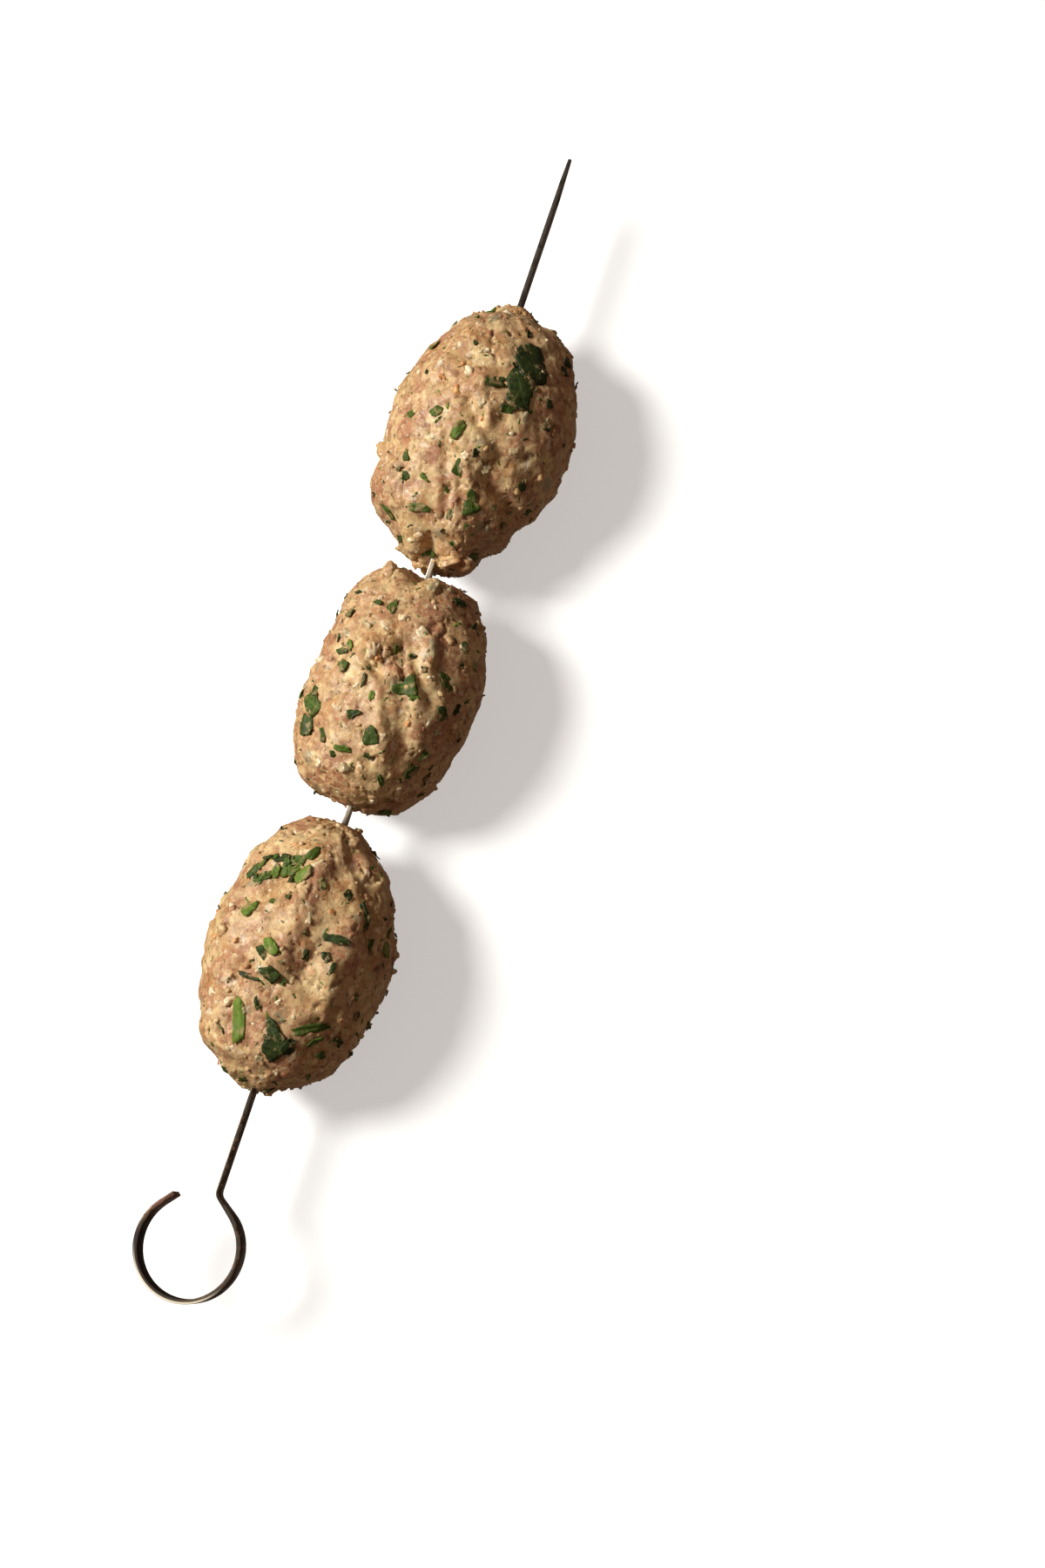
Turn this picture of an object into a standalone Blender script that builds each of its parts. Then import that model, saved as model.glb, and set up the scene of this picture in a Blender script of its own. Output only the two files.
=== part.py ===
"""Kofta skewer: three lumps of raw minced meat pressed round a flat steel skewer with an open ring handle.

The skewer lies along X with its point towards +X. Its flat band stands on edge, leaning a little towards -Y,
and the ring handle lies level. The lumps rest on z = 0, each on the small flat that its own weight gives it.
The origin is on that plane, under the middle of the whole. Lengths are in metres.
"""

import math
import random

import bmesh
import bpy
from mathutils import Matrix, Quaternion, Vector, noise
from mathutils.bvhtree import BVHTree

MM = 0.001

# The skewer: one steel band, ground to a point at one end and bent into an open ring at the other
OVERALL_LENGTH = 300 * MM
BLADE_WIDTH = 5.5 * MM
BLADE_THICKNESS = 1.2 * MM
BLADE_EDGE = 0.15 * MM
BLADE_LEAN = math.radians(7.5)
LEAN_FADE = 10 * MM
RING_RADIUS = 12.4 * MM
RING_CENTRE_BACK = 13.5 * MM
RING_CENTRE_ASIDE = 2.6 * MM
RING_LAST_ANGLE = math.radians(50)
RING_STEP = math.radians(8)
RING_END_STRAIGHT = 3.8 * MM
NECK_BEND = 1.2 * MM
POINT_TOP_LENGTH = 7 * MM
POINT_BOTTOM_LENGTH = 10 * MM
POINT_GRIND_LENGTH = 18 * MM
POINT_END_WIDTH = 0.8 * MM
POINT_END_RISE = 0.9 * MM
POINT_END_THICKNESS = 0.80

# Where things stand: the ring reaches 26.5 mm behind the neck, where the straight band begins
RING_REACH = RING_CENTRE_BACK + RING_RADIUS + BLADE_THICKNESS / 2
NECK_X = RING_REACH - OVERALL_LENGTH / 2
AXIS_HEIGHT = 18.6 * MM

# The meat's section: its height for its width, and how square it is above and below the skewer
TOP_SHARE = 0.90
BOTTOM_SHARE = 0.95
END_FULLNESS = 2.3
TOP_SQUARENESS = 2.1
BOTTOM_SQUARENESS = 2.5

# The meat's skin: coarse lumps, the crags between the mince's strands, and the facets that carry them
SKIN_AROUND = 40
SKIN_ALONG = 30
LUMP_SIZE = 13 * MM
LUMP_HEIGHT = 1.0 * MM
CRAG_SIZE = 5.5 * MM
CRAG_HEIGHT = 0.9 * MM
CREASE_RISE = 3
SLOT_GAP = 0.3 * MM

# The chopped parsley and onion in the meat: how far they stand proud, how many small ones are scattered
LEAF_THICKNESS = 1.5 * MM
LEAF_PROUD = 0.4 * MM
LEAF_CORNERS = 9
DICE_SHOWING = 0.35
SCATTERED_LEAVES = 9
SCATTERED_DICE = 8
SCATTERED_LEAF_SIZE = (2.2 * MM, 3.6 * MM)
SCATTERED_DICE_SIZE = (2.0 * MM, 3.4 * MM)
SCATTER_SPACING = 5.5 * MM
SCATTER_LOWEST = -0.45

# Each lump, in millimetres and degrees. "start" is its distance from the neck. "outline" gives the half
# widths on the +Y and -Y sides at stations along it. "creases" run over the top from point to point:
# (along, across), depth and width. "leaves" are (along, across, length, width, turn) and "dice" are (along,
# across, size).
LUMPS = {
    "kofta_handle_end": {
        "start": 25.6,
        "length": 67.0,
        "outline": [
            (2.4, 7.5, 7.0), (7.4, 15.5, 14.2), (13.4, 18.2, 18.0), (22.4, 21.0, 20.8),
            (31.4, 22.4, 22.2), (37.4, 22.8, 21.8), (43.4, 21.4, 21.2), (49.4, 19.4, 18.4),
            (58.4, 16.4, 13.6), (64.4, 12.0, 6.6),
        ],
        "creases": [
            ((46, 9), (56, 0), 0.9, 2.2),
            ((16, 9), (26, 9), 0.8, 2.0),
            ((52, -13), (62, -5), 1.2, 2.4),
            ((19, -15), (34, -17), 0.9, 2.2),
        ],
        "leaves": [
            (48.3, 12.1, 4.6, 3.4, 20), (52.3, 6.8, 5.2, 3.6, 70), (51.2, 1.6, 5.0, 3.8, 5),
            (39.4, 11.1, 4.8, 4.4, 30), (32.3, 1.9, 5.3, 3.6, 35), (26.3, 0.7, 5.6, 4.6, 80),
            (38.6, -11.4, 7.0, 2.4, 100), (46.8, -14.7, 5.6, 2.4, 15), (14.5, 5.0, 11.2, 3.4, 5),
            (12.9, -4.4, 8.2, 6.4, 40), (17.6, -11.7, 9.0, 2.8, 95), (34.4, -9.8, 3.2, 2.6, 60),
            (40.8, -20.7, 3.6, 3.4, 0),
        ],
        "dice": [
            (62.7, -5.9, 3.8), (54.6, -1.0, 3.0), (7.1, -1.2, 4.2), (20.9, -3.4, 2.8), (33.0, 15.5, 3.2),
        ],
        "seed": 3,
    },
    "kofta_middle": {
        "start": 97.5,
        "length": 60.0,
        "outline": [
            (1.5, 11.5, 9.0), (4.5, 15.4, 13.2), (10.5, 18.2, 17.0), (16.5, 19.6, 19.0), (25.5, 20.6, 21.2),
            (34.5, 19.4, 22.0), (43.5, 18.8, 20.2), (52.5, 16.0, 16.8), (58.5, 9.8, 10.0),
        ],
        "creases": [
            ((36, 1), (18, -7), 1.0, 2.2),
            ((33, 4), (30, -1), 1.6, 2.0),
            ((24, 19), (29, 13), 1.4, 2.4),
            ((40, -12), (28, -14), 0.9, 2.2),
            ((61, 0.6), (57, 0), 2.6, 5.0),
        ],
        "leaves": [
            (42.6, 12.2, 3.0, 2.6, 100), (46.8, 2.0, 3.8, 2.6, 10), (29.4, 9.1, 4.0, 3.2, 80),
            (28.8, -7.2, 5.8, 4.8, 110), (34.0, -15.2, 5.4, 3.2, 45), (19.5, 14.1, 6.6, 5.4, 70),
            (14.4, 14.0, 4.8, 3.4, 30), (15.2, -3.3, 4.6, 4.0, 15), (10.2, 2.2, 4.6, 2.6, 75),
            (25.7, -17.0, 4.4, 3.4, 60), (10.9, -13.6, 4.4, 2.8, -25), (53.8, -11.9, 4.0, 2.2, 100),
        ],
        "dice": [
            (57.0, 7.4, 4.2), (55.2, -5.4, 3.4), (56.4, -8.8, 3.0), (37.2, 11.2, 3.4), (42.3, -6.9, 3.2),
        ],
        "seed": 5,
    },
    "kofta_point_end": {
        "start": 160.0,
        "length": 71.5,
        "outline": [
            (2.0, 7.8, 8.8), (5.0, 11.5, 10.0), (11.0, 18.8, 15.0), (17.0, 20.9, 16.6),
            (23.0, 20.6, 20.4), (32.0, 21.6, 23.0), (41.0, 22.0, 23.0), (50.0, 19.6, 21.8),
            (59.0, 15.8, 18.0), (65.0, 10.4, 14.0), (68.0, 6.6, 7.0),
        ],
        "creases": [
            ((17, -18), (22, -9), 2.0, 2.8),
            ((22, -9), (25, 3), 1.4, 2.4),
            ((25, 3), (24, 19), 1.0, 2.6),
            ((38, 0), (31, -7), 1.1, 2.2),
            ((23, -2), (13, -6), 0.9, 2.2),
            ((-1, 1.2), (3.5, 1), 3.0, 5.0),
        ],
        "leaves": [
            (51.4, -11.7, 11.6, 7.4, 28), (42.2, -10.6, 8.6, 5.6, 35), (44.0, -4.3, 5.4, 3.4, 95),
            (33.4, 6.8, 3.0, 2.4, 100), (29.9, -0.1, 5.2, 3.2, -15), (21.5, -2.3, 5.2, 2.8, 15),
            (15.1, -7.3, 5.2, 4.0, 25), (10.3, 4.2, 5.8, 2.4, 100), (8.7, 12.8, 5.4, 3.4, 20),
            (39.3, -18.1, 3.2, 2.6, 10), (23.8, -17.3, 3.2, 2.4, 10), (55.5, -17.0, 3.4, 2.8, 30),
        ],
        "dice": [
            (66.6, 0.9, 4.0), (24.5, 20.2, 4.2), (24.5, -4.0, 2.8), (45.4, 2.4, 3.2), (4.6, 3.4, 3.2),
        ],
        "seed": 8,
    },
}


def remove_everything():
    """Empties the scene of objects"""
    for thing in list(bpy.data.objects):
        bpy.data.objects.remove(thing, do_unlink=True)


def new_collection(name):
    """Adds a collection to the scene"""
    collection = bpy.data.collections.new(name)
    bpy.context.scene.collection.children.link(collection)
    return collection


def new_material(name, colour, roughness, metallic=0.0):
    """A plain finish: a base colour, a roughness and a metallic value"""
    material = bpy.data.materials.new(name)
    material.use_nodes = True
    shader = material.node_tree.nodes["Principled BSDF"]
    shader.inputs["Base Color"].default_value = (*colour, 1.0)
    shader.inputs["Roughness"].default_value = roughness
    shader.inputs["Metallic"].default_value = metallic
    material.diffuse_color = (*colour, 1.0)
    return material


def object_from_bmesh(bm, name, collection):
    """Turns a bmesh into an object, and frees it"""
    mesh = bpy.data.meshes.new(name)
    bm.to_mesh(mesh)
    bm.free()
    thing = bpy.data.objects.new(name, mesh)
    collection.objects.link(thing)
    return thing


def apply_modifiers(thing):
    """Replaces an object's mesh with what its modifiers make of it"""
    bpy.context.view_layer.update()
    evaluated = thing.evaluated_get(bpy.context.evaluated_depsgraph_get())
    mesh = bpy.data.meshes.new_from_object(evaluated)
    thing.modifiers.clear()
    thing.data = mesh


def ring_path():
    """The band's centre line in plan, from just before the neck round the ring to its free end"""
    neck = Vector((NECK_X, 0.0))
    centre = neck + Vector((-RING_CENTRE_BACK, RING_CENTRE_ASIDE))
    to_centre = centre - neck
    tangent_length = math.sqrt(to_centre.length_squared - RING_RADIUS ** 2)
    lean = math.atan2(RING_RADIUS, tangent_length)
    heading = math.atan2(to_centre.y, to_centre.x) + lean
    tangent = neck + tangent_length * Vector((math.cos(heading), math.sin(heading)))
    path = [neck + Vector((NECK_BEND, 0.0)), neck + (tangent - neck) * NECK_BEND / tangent_length]
    path.insert(1, (path[0] + 2 * neck + path[1]) / 4)
    first = math.atan2(tangent.y - centre.y, tangent.x - centre.x)
    last = RING_LAST_ANGLE - 2 * math.pi
    steps = round((first - last) / RING_STEP)
    for i in range(steps + 1):
        angle = first + (last - first) * i / steps
        path.append(centre + RING_RADIUS * Vector((math.cos(angle), math.sin(angle))))
    onward = Vector((math.sin(last), -math.cos(last)))
    path.append(path[-1] + onward * RING_END_STRAIGHT)
    return path


def blade_stations():
    """Along the point: (x, lower edge, upper edge, thickness share), from its end back to the full band"""
    tip = OVERALL_LENGTH / 2
    low, high = -BLADE_WIDTH / 2, BLADE_WIDTH / 2
    stations = []
    for back in (0.0, 0.5 * POINT_TOP_LENGTH, POINT_TOP_LENGTH, POINT_BOTTOM_LENGTH, POINT_GRIND_LENGTH):
        below = min(back / POINT_BOTTOM_LENGTH, 1.0)
        above = min(back / POINT_TOP_LENGTH, 1.0)
        ground = min(back / POINT_GRIND_LENGTH, 1.0)
        lower = (POINT_END_RISE - POINT_END_WIDTH / 2) * (1 - below) + low * below
        upper = (POINT_END_RISE + POINT_END_WIDTH / 2) * (1 - above) + high * above
        share = POINT_END_THICKNESS + (1 - POINT_END_THICKNESS) * ground
        stations.append((tip - back, lower, upper, share))
    return stations


def band_corner(place, heading, lean, height):
    """A corner of the band: a height up its leaning section, above a place on the centre line in plan"""
    aside = Vector((-heading.y, heading.x)) * height * math.sin(lean)
    return Vector((place.x + aside.x, place.y + aside.y, height * math.cos(lean)))


def ring_leans(path):
    """The band's heading and lean at each place round the ring: the lean fades out just behind the neck"""
    leans = []
    travelled = 0.0
    for i, place in enumerate(path):
        before = path[max(i - 1, 0)]
        after = path[min(i + 1, len(path) - 1)]
        travelled += (place - before).length
        fade = min(travelled / LEAN_FADE, 1.0)
        leans.append(((after - before).normalized(), BLADE_LEAN * (1 + math.cos(math.pi * fade)) / 2))
    return leans


def make_skewer(collection):
    """The band: a ribbon that follows the centre line on edge, thickened, with its edges eased"""
    bm = bmesh.new()
    rows = []
    shares = []
    for x, lower, upper, share in blade_stations():
        corners = [band_corner(Vector((x, 0)), Vector((-1, 0)), BLADE_LEAN, edge) for edge in (lower, upper)]
        rows.append([bm.verts.new(corner) for corner in corners])
        shares.append(share)
    path = ring_path()
    for place, (heading, lean) in zip(path, ring_leans(path)):
        corners = [band_corner(place, heading, lean, side * BLADE_WIDTH / 2) for side in (-1, 1)]
        rows.append([bm.verts.new(corner) for corner in corners])
        shares.append(1.0)
    for (low_a, high_a), (low_b, high_b) in zip(rows, rows[1:]):
        bm.faces.new((low_a, low_b, high_b, high_a))
    bmesh.ops.translate(bm, verts=bm.verts, vec=(0, 0, AXIS_HEIGHT))
    skewer = object_from_bmesh(bm, "skewer", collection)
    ground = skewer.vertex_groups.new(name="ground")
    for i, share in enumerate(shares):
        ground.add([2 * i, 2 * i + 1], share, "REPLACE")
    thicken = skewer.modifiers.new("thickness", "SOLIDIFY")
    thicken.thickness = BLADE_THICKNESS
    thicken.offset = 0
    thicken.use_even_offset = True
    thicken.vertex_group = ground.name
    ease = skewer.modifiers.new("eased edges", "BEVEL")
    ease.width = BLADE_EDGE
    ease.segments = 1
    ease.limit_method = "ANGLE"
    ease.angle_limit = math.radians(50)
    return skewer


def between_stations(places, values, at):
    """A smooth curve through values given at places, level past the first and the last"""
    at = min(max(at, places[0]), places[-1])
    i = max(k for k in range(len(places) - 1) if places[k] <= at)
    slopes = []
    for k in (i, i + 1):
        before, after = max(k - 1, 0), min(k + 1, len(places) - 1)
        slopes.append((values[after] - values[before]) / (places[after] - places[before]))
    run = places[i + 1] - places[i]
    t = (at - places[i]) / run
    start, end = values[i], values[i + 1]
    return (start * (2 * t ** 3 - 3 * t ** 2 + 1) + slopes[0] * run * (t ** 3 - 2 * t ** 2 + t)
            + end * (3 * t ** 2 - 2 * t ** 3) + slopes[1] * run * (t ** 3 - t ** 2))


def end_rounding(share):
    """How full a lump is at a share of its length: 0 at its ends, 1 in the middle"""
    reach = min(abs(2 * share - 1), 1.0)
    return (1 - reach ** END_FULLNESS) ** (1 / END_FULLNESS)


def half_width(lump, share, side):
    """A lump's half width in metres on the +Y side (side 1) or the -Y side (side 2)"""
    places = [station[0] / lump["length"] for station in lump["outline"]]
    fullness = [station[side] / end_rounding(station[0] / lump["length"])
                for station in lump["outline"]]
    return between_stations(places, fullness, share) * end_rounding(share) * MM


def section_reach(lump, share, up, aside):
    """How far the skin lies from the skewer, in the direction (aside, up) across it"""
    left, right = half_width(lump, share, 1), half_width(lump, share, 2)
    wide = left if aside > 0 else right
    mean = (left + right) / 2
    tall, power = BOTTOM_SHARE * mean, BOTTOM_SQUARENESS
    if up > 0:
        tall, power = TOP_SHARE * mean, TOP_SQUARENESS
    if mean <= 0:
        return 0.0
    return ((abs(aside) / wide) ** power + (abs(up) / tall) ** power) ** (-1 / power)


def crease_depth(lump, place):
    """How deep the creases run at a place on the top, measured in plan from the lump's start"""
    depth = 0.0
    for first, last, deep, wide in lump["creases"]:
        first, last = Vector(first) * MM, Vector(last) * MM
        run = last - first
        t = min(max((place.to_2d() - first).dot(run) / run.length_squared, 0.0), 1.0)
        away = (place.to_2d() - first - run * t).length / (wide * MM / 2)
        depth = max(depth, deep * MM * math.exp(-away ** 2))
    return depth


def skin_place(lump, direction):
    """Carries a point of the unit sphere, its poles along X, to the skin, measured from the lump's start"""
    share = (1 + direction.x) / 2
    across = Vector((direction.y, direction.z))
    if across.length < 1e-6:
        return Vector((share * lump["length"] * MM, 0.0, 0.0))
    across.normalize()
    reach = section_reach(lump, share, across.y, across.x)
    place = Vector((share * lump["length"] * MM, across.x * reach, across.y * reach))
    outward = Vector((direction.x * 0.6, across.x, across.y)).normalized()
    offset = Vector((lump["seed"], 2.3 * lump["seed"], 0.0))
    swell = LUMP_HEIGHT * noise.noise(place / LUMP_SIZE + offset)
    swell += CRAG_HEIGHT * noise.noise(place / CRAG_SIZE - offset)
    if across.y > 0:
        swell -= crease_depth(lump, place) * min(across.y * CREASE_RISE, 1.0)
    return place + outward * swell


def make_body(name, lump, collection):
    """A lump's bare body: a sphere drawn out to the outline, cut level where it rests"""
    bm = bmesh.new()
    bmesh.ops.create_uvsphere(bm, u_segments=SKIN_AROUND, v_segments=SKIN_ALONG, radius=1.0)
    bmesh.ops.rotate(bm, verts=bm.verts, matrix=Matrix.Rotation(math.pi / 2, 3, "Y"))
    for vert in bm.verts:
        vert.co = skin_place(lump, vert.co.copy())
    bmesh.ops.translate(bm, verts=bm.verts, vec=(NECK_X + lump["start"] * MM, 0, AXIS_HEIGHT))
    everything = bm.verts[:] + bm.edges[:] + bm.faces[:]
    cut = bmesh.ops.bisect_plane(
        bm, geom=everything, plane_co=(0, 0, 0), plane_no=(0, 0, -1), clear_outer=True)
    rim = [part for part in cut["geom_cut"] if isinstance(part, bmesh.types.BMEdge)]
    bmesh.ops.holes_fill(bm, edges=rim)
    bmesh.ops.recalc_face_normals(bm, faces=bm.faces)
    return object_from_bmesh(bm, name, collection)


def skin_tree(body):
    """A searchable copy of a body's skin"""
    bm = bmesh.new()
    bm.from_mesh(body.data)
    bmesh.ops.triangulate(bm, faces=bm.faces)
    tree = BVHTree.FromBMesh(bm)
    bm.free()
    return tree


def tangent_frame(point, normal, turn):
    """Axes on the skin: along the skewer turned by an angle, across that, and outwards"""
    along = Vector((1, 0, 0))
    along = (along - normal * along.dot(normal)).normalized()
    along.rotate(Matrix.Rotation(turn, 3, normal))
    return Matrix((along, normal.cross(along), normal)).transposed().to_4x4(), point


def make_leaf(tree, point, normal, length, width, turn, rng, collection):
    """A torn piece of parsley on the skin: a jagged fan draped over it, thickened inwards"""
    axes, point = tangent_frame(point, normal, turn)
    teeth = rng.choice((2, 3, 4))
    phase = rng.uniform(0, 2 * math.pi)
    flat = [Vector((0, 0, 0))]
    for i in range(LEAF_CORNERS):
        angle = 2 * math.pi * i / LEAF_CORNERS
        reach = 0.9 + 0.14 * math.sin(teeth * angle + phase) + rng.uniform(-0.05, 0.05)
        flat.append(Vector((math.cos(angle) * length / 2, math.sin(angle) * width / 2, 0)) * reach)
    bm = bmesh.new()
    verts = []
    for corner in flat:
        above = point + (axes @ corner) + normal * 5 * MM
        hit, hit_normal, _, _ = tree.ray_cast(above, -normal, 20 * MM)
        if hit is None:
            hit, hit_normal = above - normal * 5 * MM, normal
        verts.append(bm.verts.new(hit + hit_normal * LEAF_PROUD))
    for i in range(LEAF_CORNERS):
        bm.faces.new((verts[0], verts[1 + i], verts[1 + (i + 1) % LEAF_CORNERS]))
    leaf = object_from_bmesh(bm, "leaf", collection)
    thicken = leaf.modifiers.new("thickness", "SOLIDIFY")
    thicken.thickness = LEAF_THICKNESS
    thicken.offset = -1
    apply_modifiers(leaf)
    return leaf


def make_dice(point, normal, size, rng, collection):
    """A piece of chopped onion or a crumb of meat, mostly sunk in the skin: a tumbled, faceted ball"""
    bm = bmesh.new()
    bmesh.ops.create_icosphere(bm, subdivisions=1, radius=size / 2)
    stretch = Vector((rng.uniform(0.85, 1.2), rng.uniform(0.75, 1.0), rng.uniform(0.75, 1.0)))
    bmesh.ops.scale(bm, vec=stretch, verts=bm.verts)
    turn = Vector((rng.uniform(-1, 1), rng.uniform(-1, 1), rng.uniform(-1, 1))).normalized()
    bmesh.ops.rotate(bm, verts=bm.verts, matrix=Matrix.Rotation(rng.uniform(0, math.pi), 3, turn))
    bmesh.ops.translate(bm, verts=bm.verts, vec=point - normal * size * (0.5 - DICE_SHOWING))
    return object_from_bmesh(bm, "dice", collection)


def seen_from_above(tree, lump, along, across):
    """Where a plumb line meets the top of a lump, at a place measured from the lump's start"""
    start = Vector((NECK_X + (lump["start"] + along) * MM, across * MM, 100 * MM))
    return tree.ray_cast(start, Vector((0, 0, -1)))[:2]


def scattered_places(tree, lump, count, taken, rng):
    """Evenly spread random places on the skin, clear of the places taken and of the flat underneath"""
    centre = Vector((NECK_X + (lump["start"] + lump["length"] / 2) * MM, 0, AXIS_HEIGHT))
    places = []
    while len(places) < count:
        direction = Vector((rng.gauss(0, 1), rng.gauss(0, 1), rng.gauss(0, 1))).normalized()
        if direction.z < SCATTER_LOWEST or abs(direction.x) > 0.85:
            continue
        outside = centre + direction * 80 * MM
        hit, normal, _, _ = tree.ray_cast(outside, -direction)
        if hit is None or any((hit - other).length < SCATTER_SPACING for other in taken):
            continue
        taken.append(hit)
        places.append((hit, normal))
    return places


def make_bits(lump, body, collection):
    """The parsley, onion and crumbs that show on one lump"""
    rng = random.Random(lump["seed"])
    tree = skin_tree(body)
    taken = []
    for along, across, length, width, turn in lump["leaves"]:
        point, normal = seen_from_above(tree, lump, along, across)
        taken.append(point)
        make_leaf(tree, point, normal, length * MM, width * MM, math.radians(turn), rng, collection)
    for along, across, size in lump["dice"]:
        point, normal = seen_from_above(tree, lump, along, across)
        taken.append(point)
        make_dice(point, normal, size * MM, rng, collection)
    for point, normal in scattered_places(tree, lump, SCATTERED_LEAVES, taken, rng):
        length = rng.uniform(*SCATTERED_LEAF_SIZE)
        width, turn = length * rng.uniform(0.6, 0.9), rng.uniform(0, math.pi)
        make_leaf(tree, point, normal, length, width, turn, rng, collection)
    for point, normal in scattered_places(tree, lump, SCATTERED_DICE, taken, rng):
        make_dice(point, normal, rng.uniform(*SCATTERED_DICE_SIZE), rng, collection)


def fuse(body, bits):
    """Joins a collection of bits to a body, and removes them"""
    join = body.modifiers.new("bits", "BOOLEAN")
    join.operation = "UNION"
    join.operand_type = "COLLECTION"
    join.collection = bits
    join.solver = "EXACT"
    apply_modifiers(body)
    for bit in list(bits.objects):
        bpy.data.objects.remove(bit, do_unlink=True)
    bpy.data.collections.remove(bits)


def make_slot_cutter(name, lump, collection):
    """The slot that the band takes through a lump, with a little air all round"""
    bpy.ops.mesh.primitive_cube_add(size=1.0)
    cutter = bpy.context.object
    cutter.name = name + "_slot"
    for holder in list(cutter.users_collection):
        holder.objects.unlink(cutter)
    collection.objects.link(cutter)
    length = lump["length"] * MM * 1.2
    size = Vector((length, BLADE_THICKNESS + 2 * SLOT_GAP, BLADE_WIDTH + 2 * SLOT_GAP))
    middle = Vector((NECK_X + (lump["start"] + lump["length"] / 2) * MM, 0, AXIS_HEIGHT))
    cutter.data.transform(Matrix.LocRotScale(middle, Quaternion((1, 0, 0), BLADE_LEAN), size))
    cutter.hide_render = True
    cutter.display_type = "WIRE"
    return cutter


def tidy_mesh(thing):
    """Merges doubled corners and drops faces with no area"""
    bm = bmesh.new()
    bm.from_mesh(thing.data)
    bmesh.ops.remove_doubles(bm, verts=bm.verts, dist=0.02 * MM)
    bmesh.ops.dissolve_degenerate(bm, edges=bm.edges, dist=0.02 * MM)
    bmesh.ops.triangulate(bm, faces=bm.faces)
    bm.to_mesh(thing.data)
    bm.free()


def make_lump(name, lump, parts, cutters):
    """One lump of kofta: its body, the bits fused to it, and the slot for the band"""
    body = make_body(name, lump, parts)
    bits = new_collection(name + "_bits")
    make_bits(lump, body, bits)
    fuse(body, bits)
    cut = body.modifiers.new("slot", "BOOLEAN")
    cut.operation = "DIFFERENCE"
    cut.object = make_slot_cutter(name, lump, cutters)
    cut.solver = "EXACT"
    apply_modifiers(body)
    tidy_mesh(body)
    return body


def centre_in_plan(things):
    """Moves the meshes sideways so that the origin lies under the middle of the whole"""
    corners = [vert.co for thing in things for vert in thing.data.vertices]
    middle = (min(c.y for c in corners) + max(c.y for c in corners)) / 2
    for thing in things:
        thing.data.transform(Matrix.Translation((0, -middle, 0)))
    return middle


def main():
    remove_everything()
    parts = new_collection("kofta_skewer")
    cutters = new_collection("cutters")
    steel = new_material("steel", (0.30, 0.26, 0.22), 0.38, 1.0)
    meat = new_material("raw kofta", (0.56, 0.36, 0.22), 0.55)
    skewer = make_skewer(parts)
    skewer.data.materials.append(steel)
    things = [skewer]
    for name, lump in LUMPS.items():
        body = make_lump(name, lump, parts, cutters)
        body.data.materials.clear()
        body.data.materials.append(meat)
        body.data.shade_smooth()
        things.append(body)
    aside = centre_in_plan(things)
    print("moved aside by", round(-aside / MM, 3), "mm")
    for thing in things:
        print(thing.name, len(thing.data.vertices), "corners")


main()
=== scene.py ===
# %% [markdown]
# # A kofta skewer
# Three lumps of raw minced meat, with chopped parsley and onion worked through them, are pressed round a
# flat steel skewer. The solid model gives the sizes and the places. This notebook makes the surfaces that
# a cook would know: the crumbly skin of the meat, the torn green leaves, the wet white onion, and steel
# that many fires have darkened, with a painted dark reflection and painted highlights on it as well.

# %% The imported model as a fixed frame
import math
import random
from functools import lru_cache

import bmesh
import bpy
from mathutils import Matrix, Quaternion, Vector, noise
from mathutils.bvhtree import BVHTree


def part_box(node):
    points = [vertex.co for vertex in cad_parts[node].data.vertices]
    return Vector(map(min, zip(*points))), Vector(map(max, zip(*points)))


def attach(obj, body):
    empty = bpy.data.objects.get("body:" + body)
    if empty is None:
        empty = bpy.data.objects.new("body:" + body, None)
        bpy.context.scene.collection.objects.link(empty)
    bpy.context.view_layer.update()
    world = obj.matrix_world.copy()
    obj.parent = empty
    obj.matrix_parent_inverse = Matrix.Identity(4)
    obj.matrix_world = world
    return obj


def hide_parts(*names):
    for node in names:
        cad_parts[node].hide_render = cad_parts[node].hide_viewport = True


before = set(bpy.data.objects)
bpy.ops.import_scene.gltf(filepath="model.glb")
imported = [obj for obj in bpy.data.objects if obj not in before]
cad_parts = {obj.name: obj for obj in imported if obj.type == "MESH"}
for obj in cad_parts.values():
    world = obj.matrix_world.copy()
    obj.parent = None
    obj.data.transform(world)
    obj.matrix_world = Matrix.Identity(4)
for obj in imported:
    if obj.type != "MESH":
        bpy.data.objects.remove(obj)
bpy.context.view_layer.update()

MM = 0.001
print("solids:", sorted(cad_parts))

# %% [markdown]
# ## Where the skewer lies
# Every place below is measured from the neck, where the straight band ends and the ring handle begins.
# The frame tells where that is: the ring reaches a known way behind the neck, and the point stands a
# known way off the axis, because it is ground a little high and the band leans.

# %% The neck and the axis, read from the solid skewer
BLADE_WIDTH = 5.5 * MM
BLADE_THICKNESS = 1.2 * MM
BLADE_LEAN = math.radians(7.5)
POINT_END_RISE = 0.9 * MM
RING_RADIUS = 12.4 * MM
RING_CENTRE_BACK = 13.5 * MM
RING_CENTRE_ASIDE = 2.6 * MM

skewer_low, skewer_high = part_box("skewer")
point_corners = [v.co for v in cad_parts["skewer"].data.vertices if v.co.x > skewer_high.x - MM]
POINT_Y = (min(c.y for c in point_corners) + max(c.y for c in point_corners)) / 2
AXIS_Y = POINT_Y + POINT_END_RISE * math.sin(BLADE_LEAN)
AXIS_HEIGHT = (skewer_low.z + skewer_high.z) / 2
NECK_X = skewer_low.x + RING_CENTRE_BACK + RING_RADIUS + BLADE_THICKNESS / 2
POINT_X = skewer_high.x
NECK = Vector((NECK_X, AXIS_Y, AXIS_HEIGHT))
print("neck at", [round(c / MM, 2) for c in NECK], "mm, point at", round(POINT_X / MM, 2), "mm")

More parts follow.
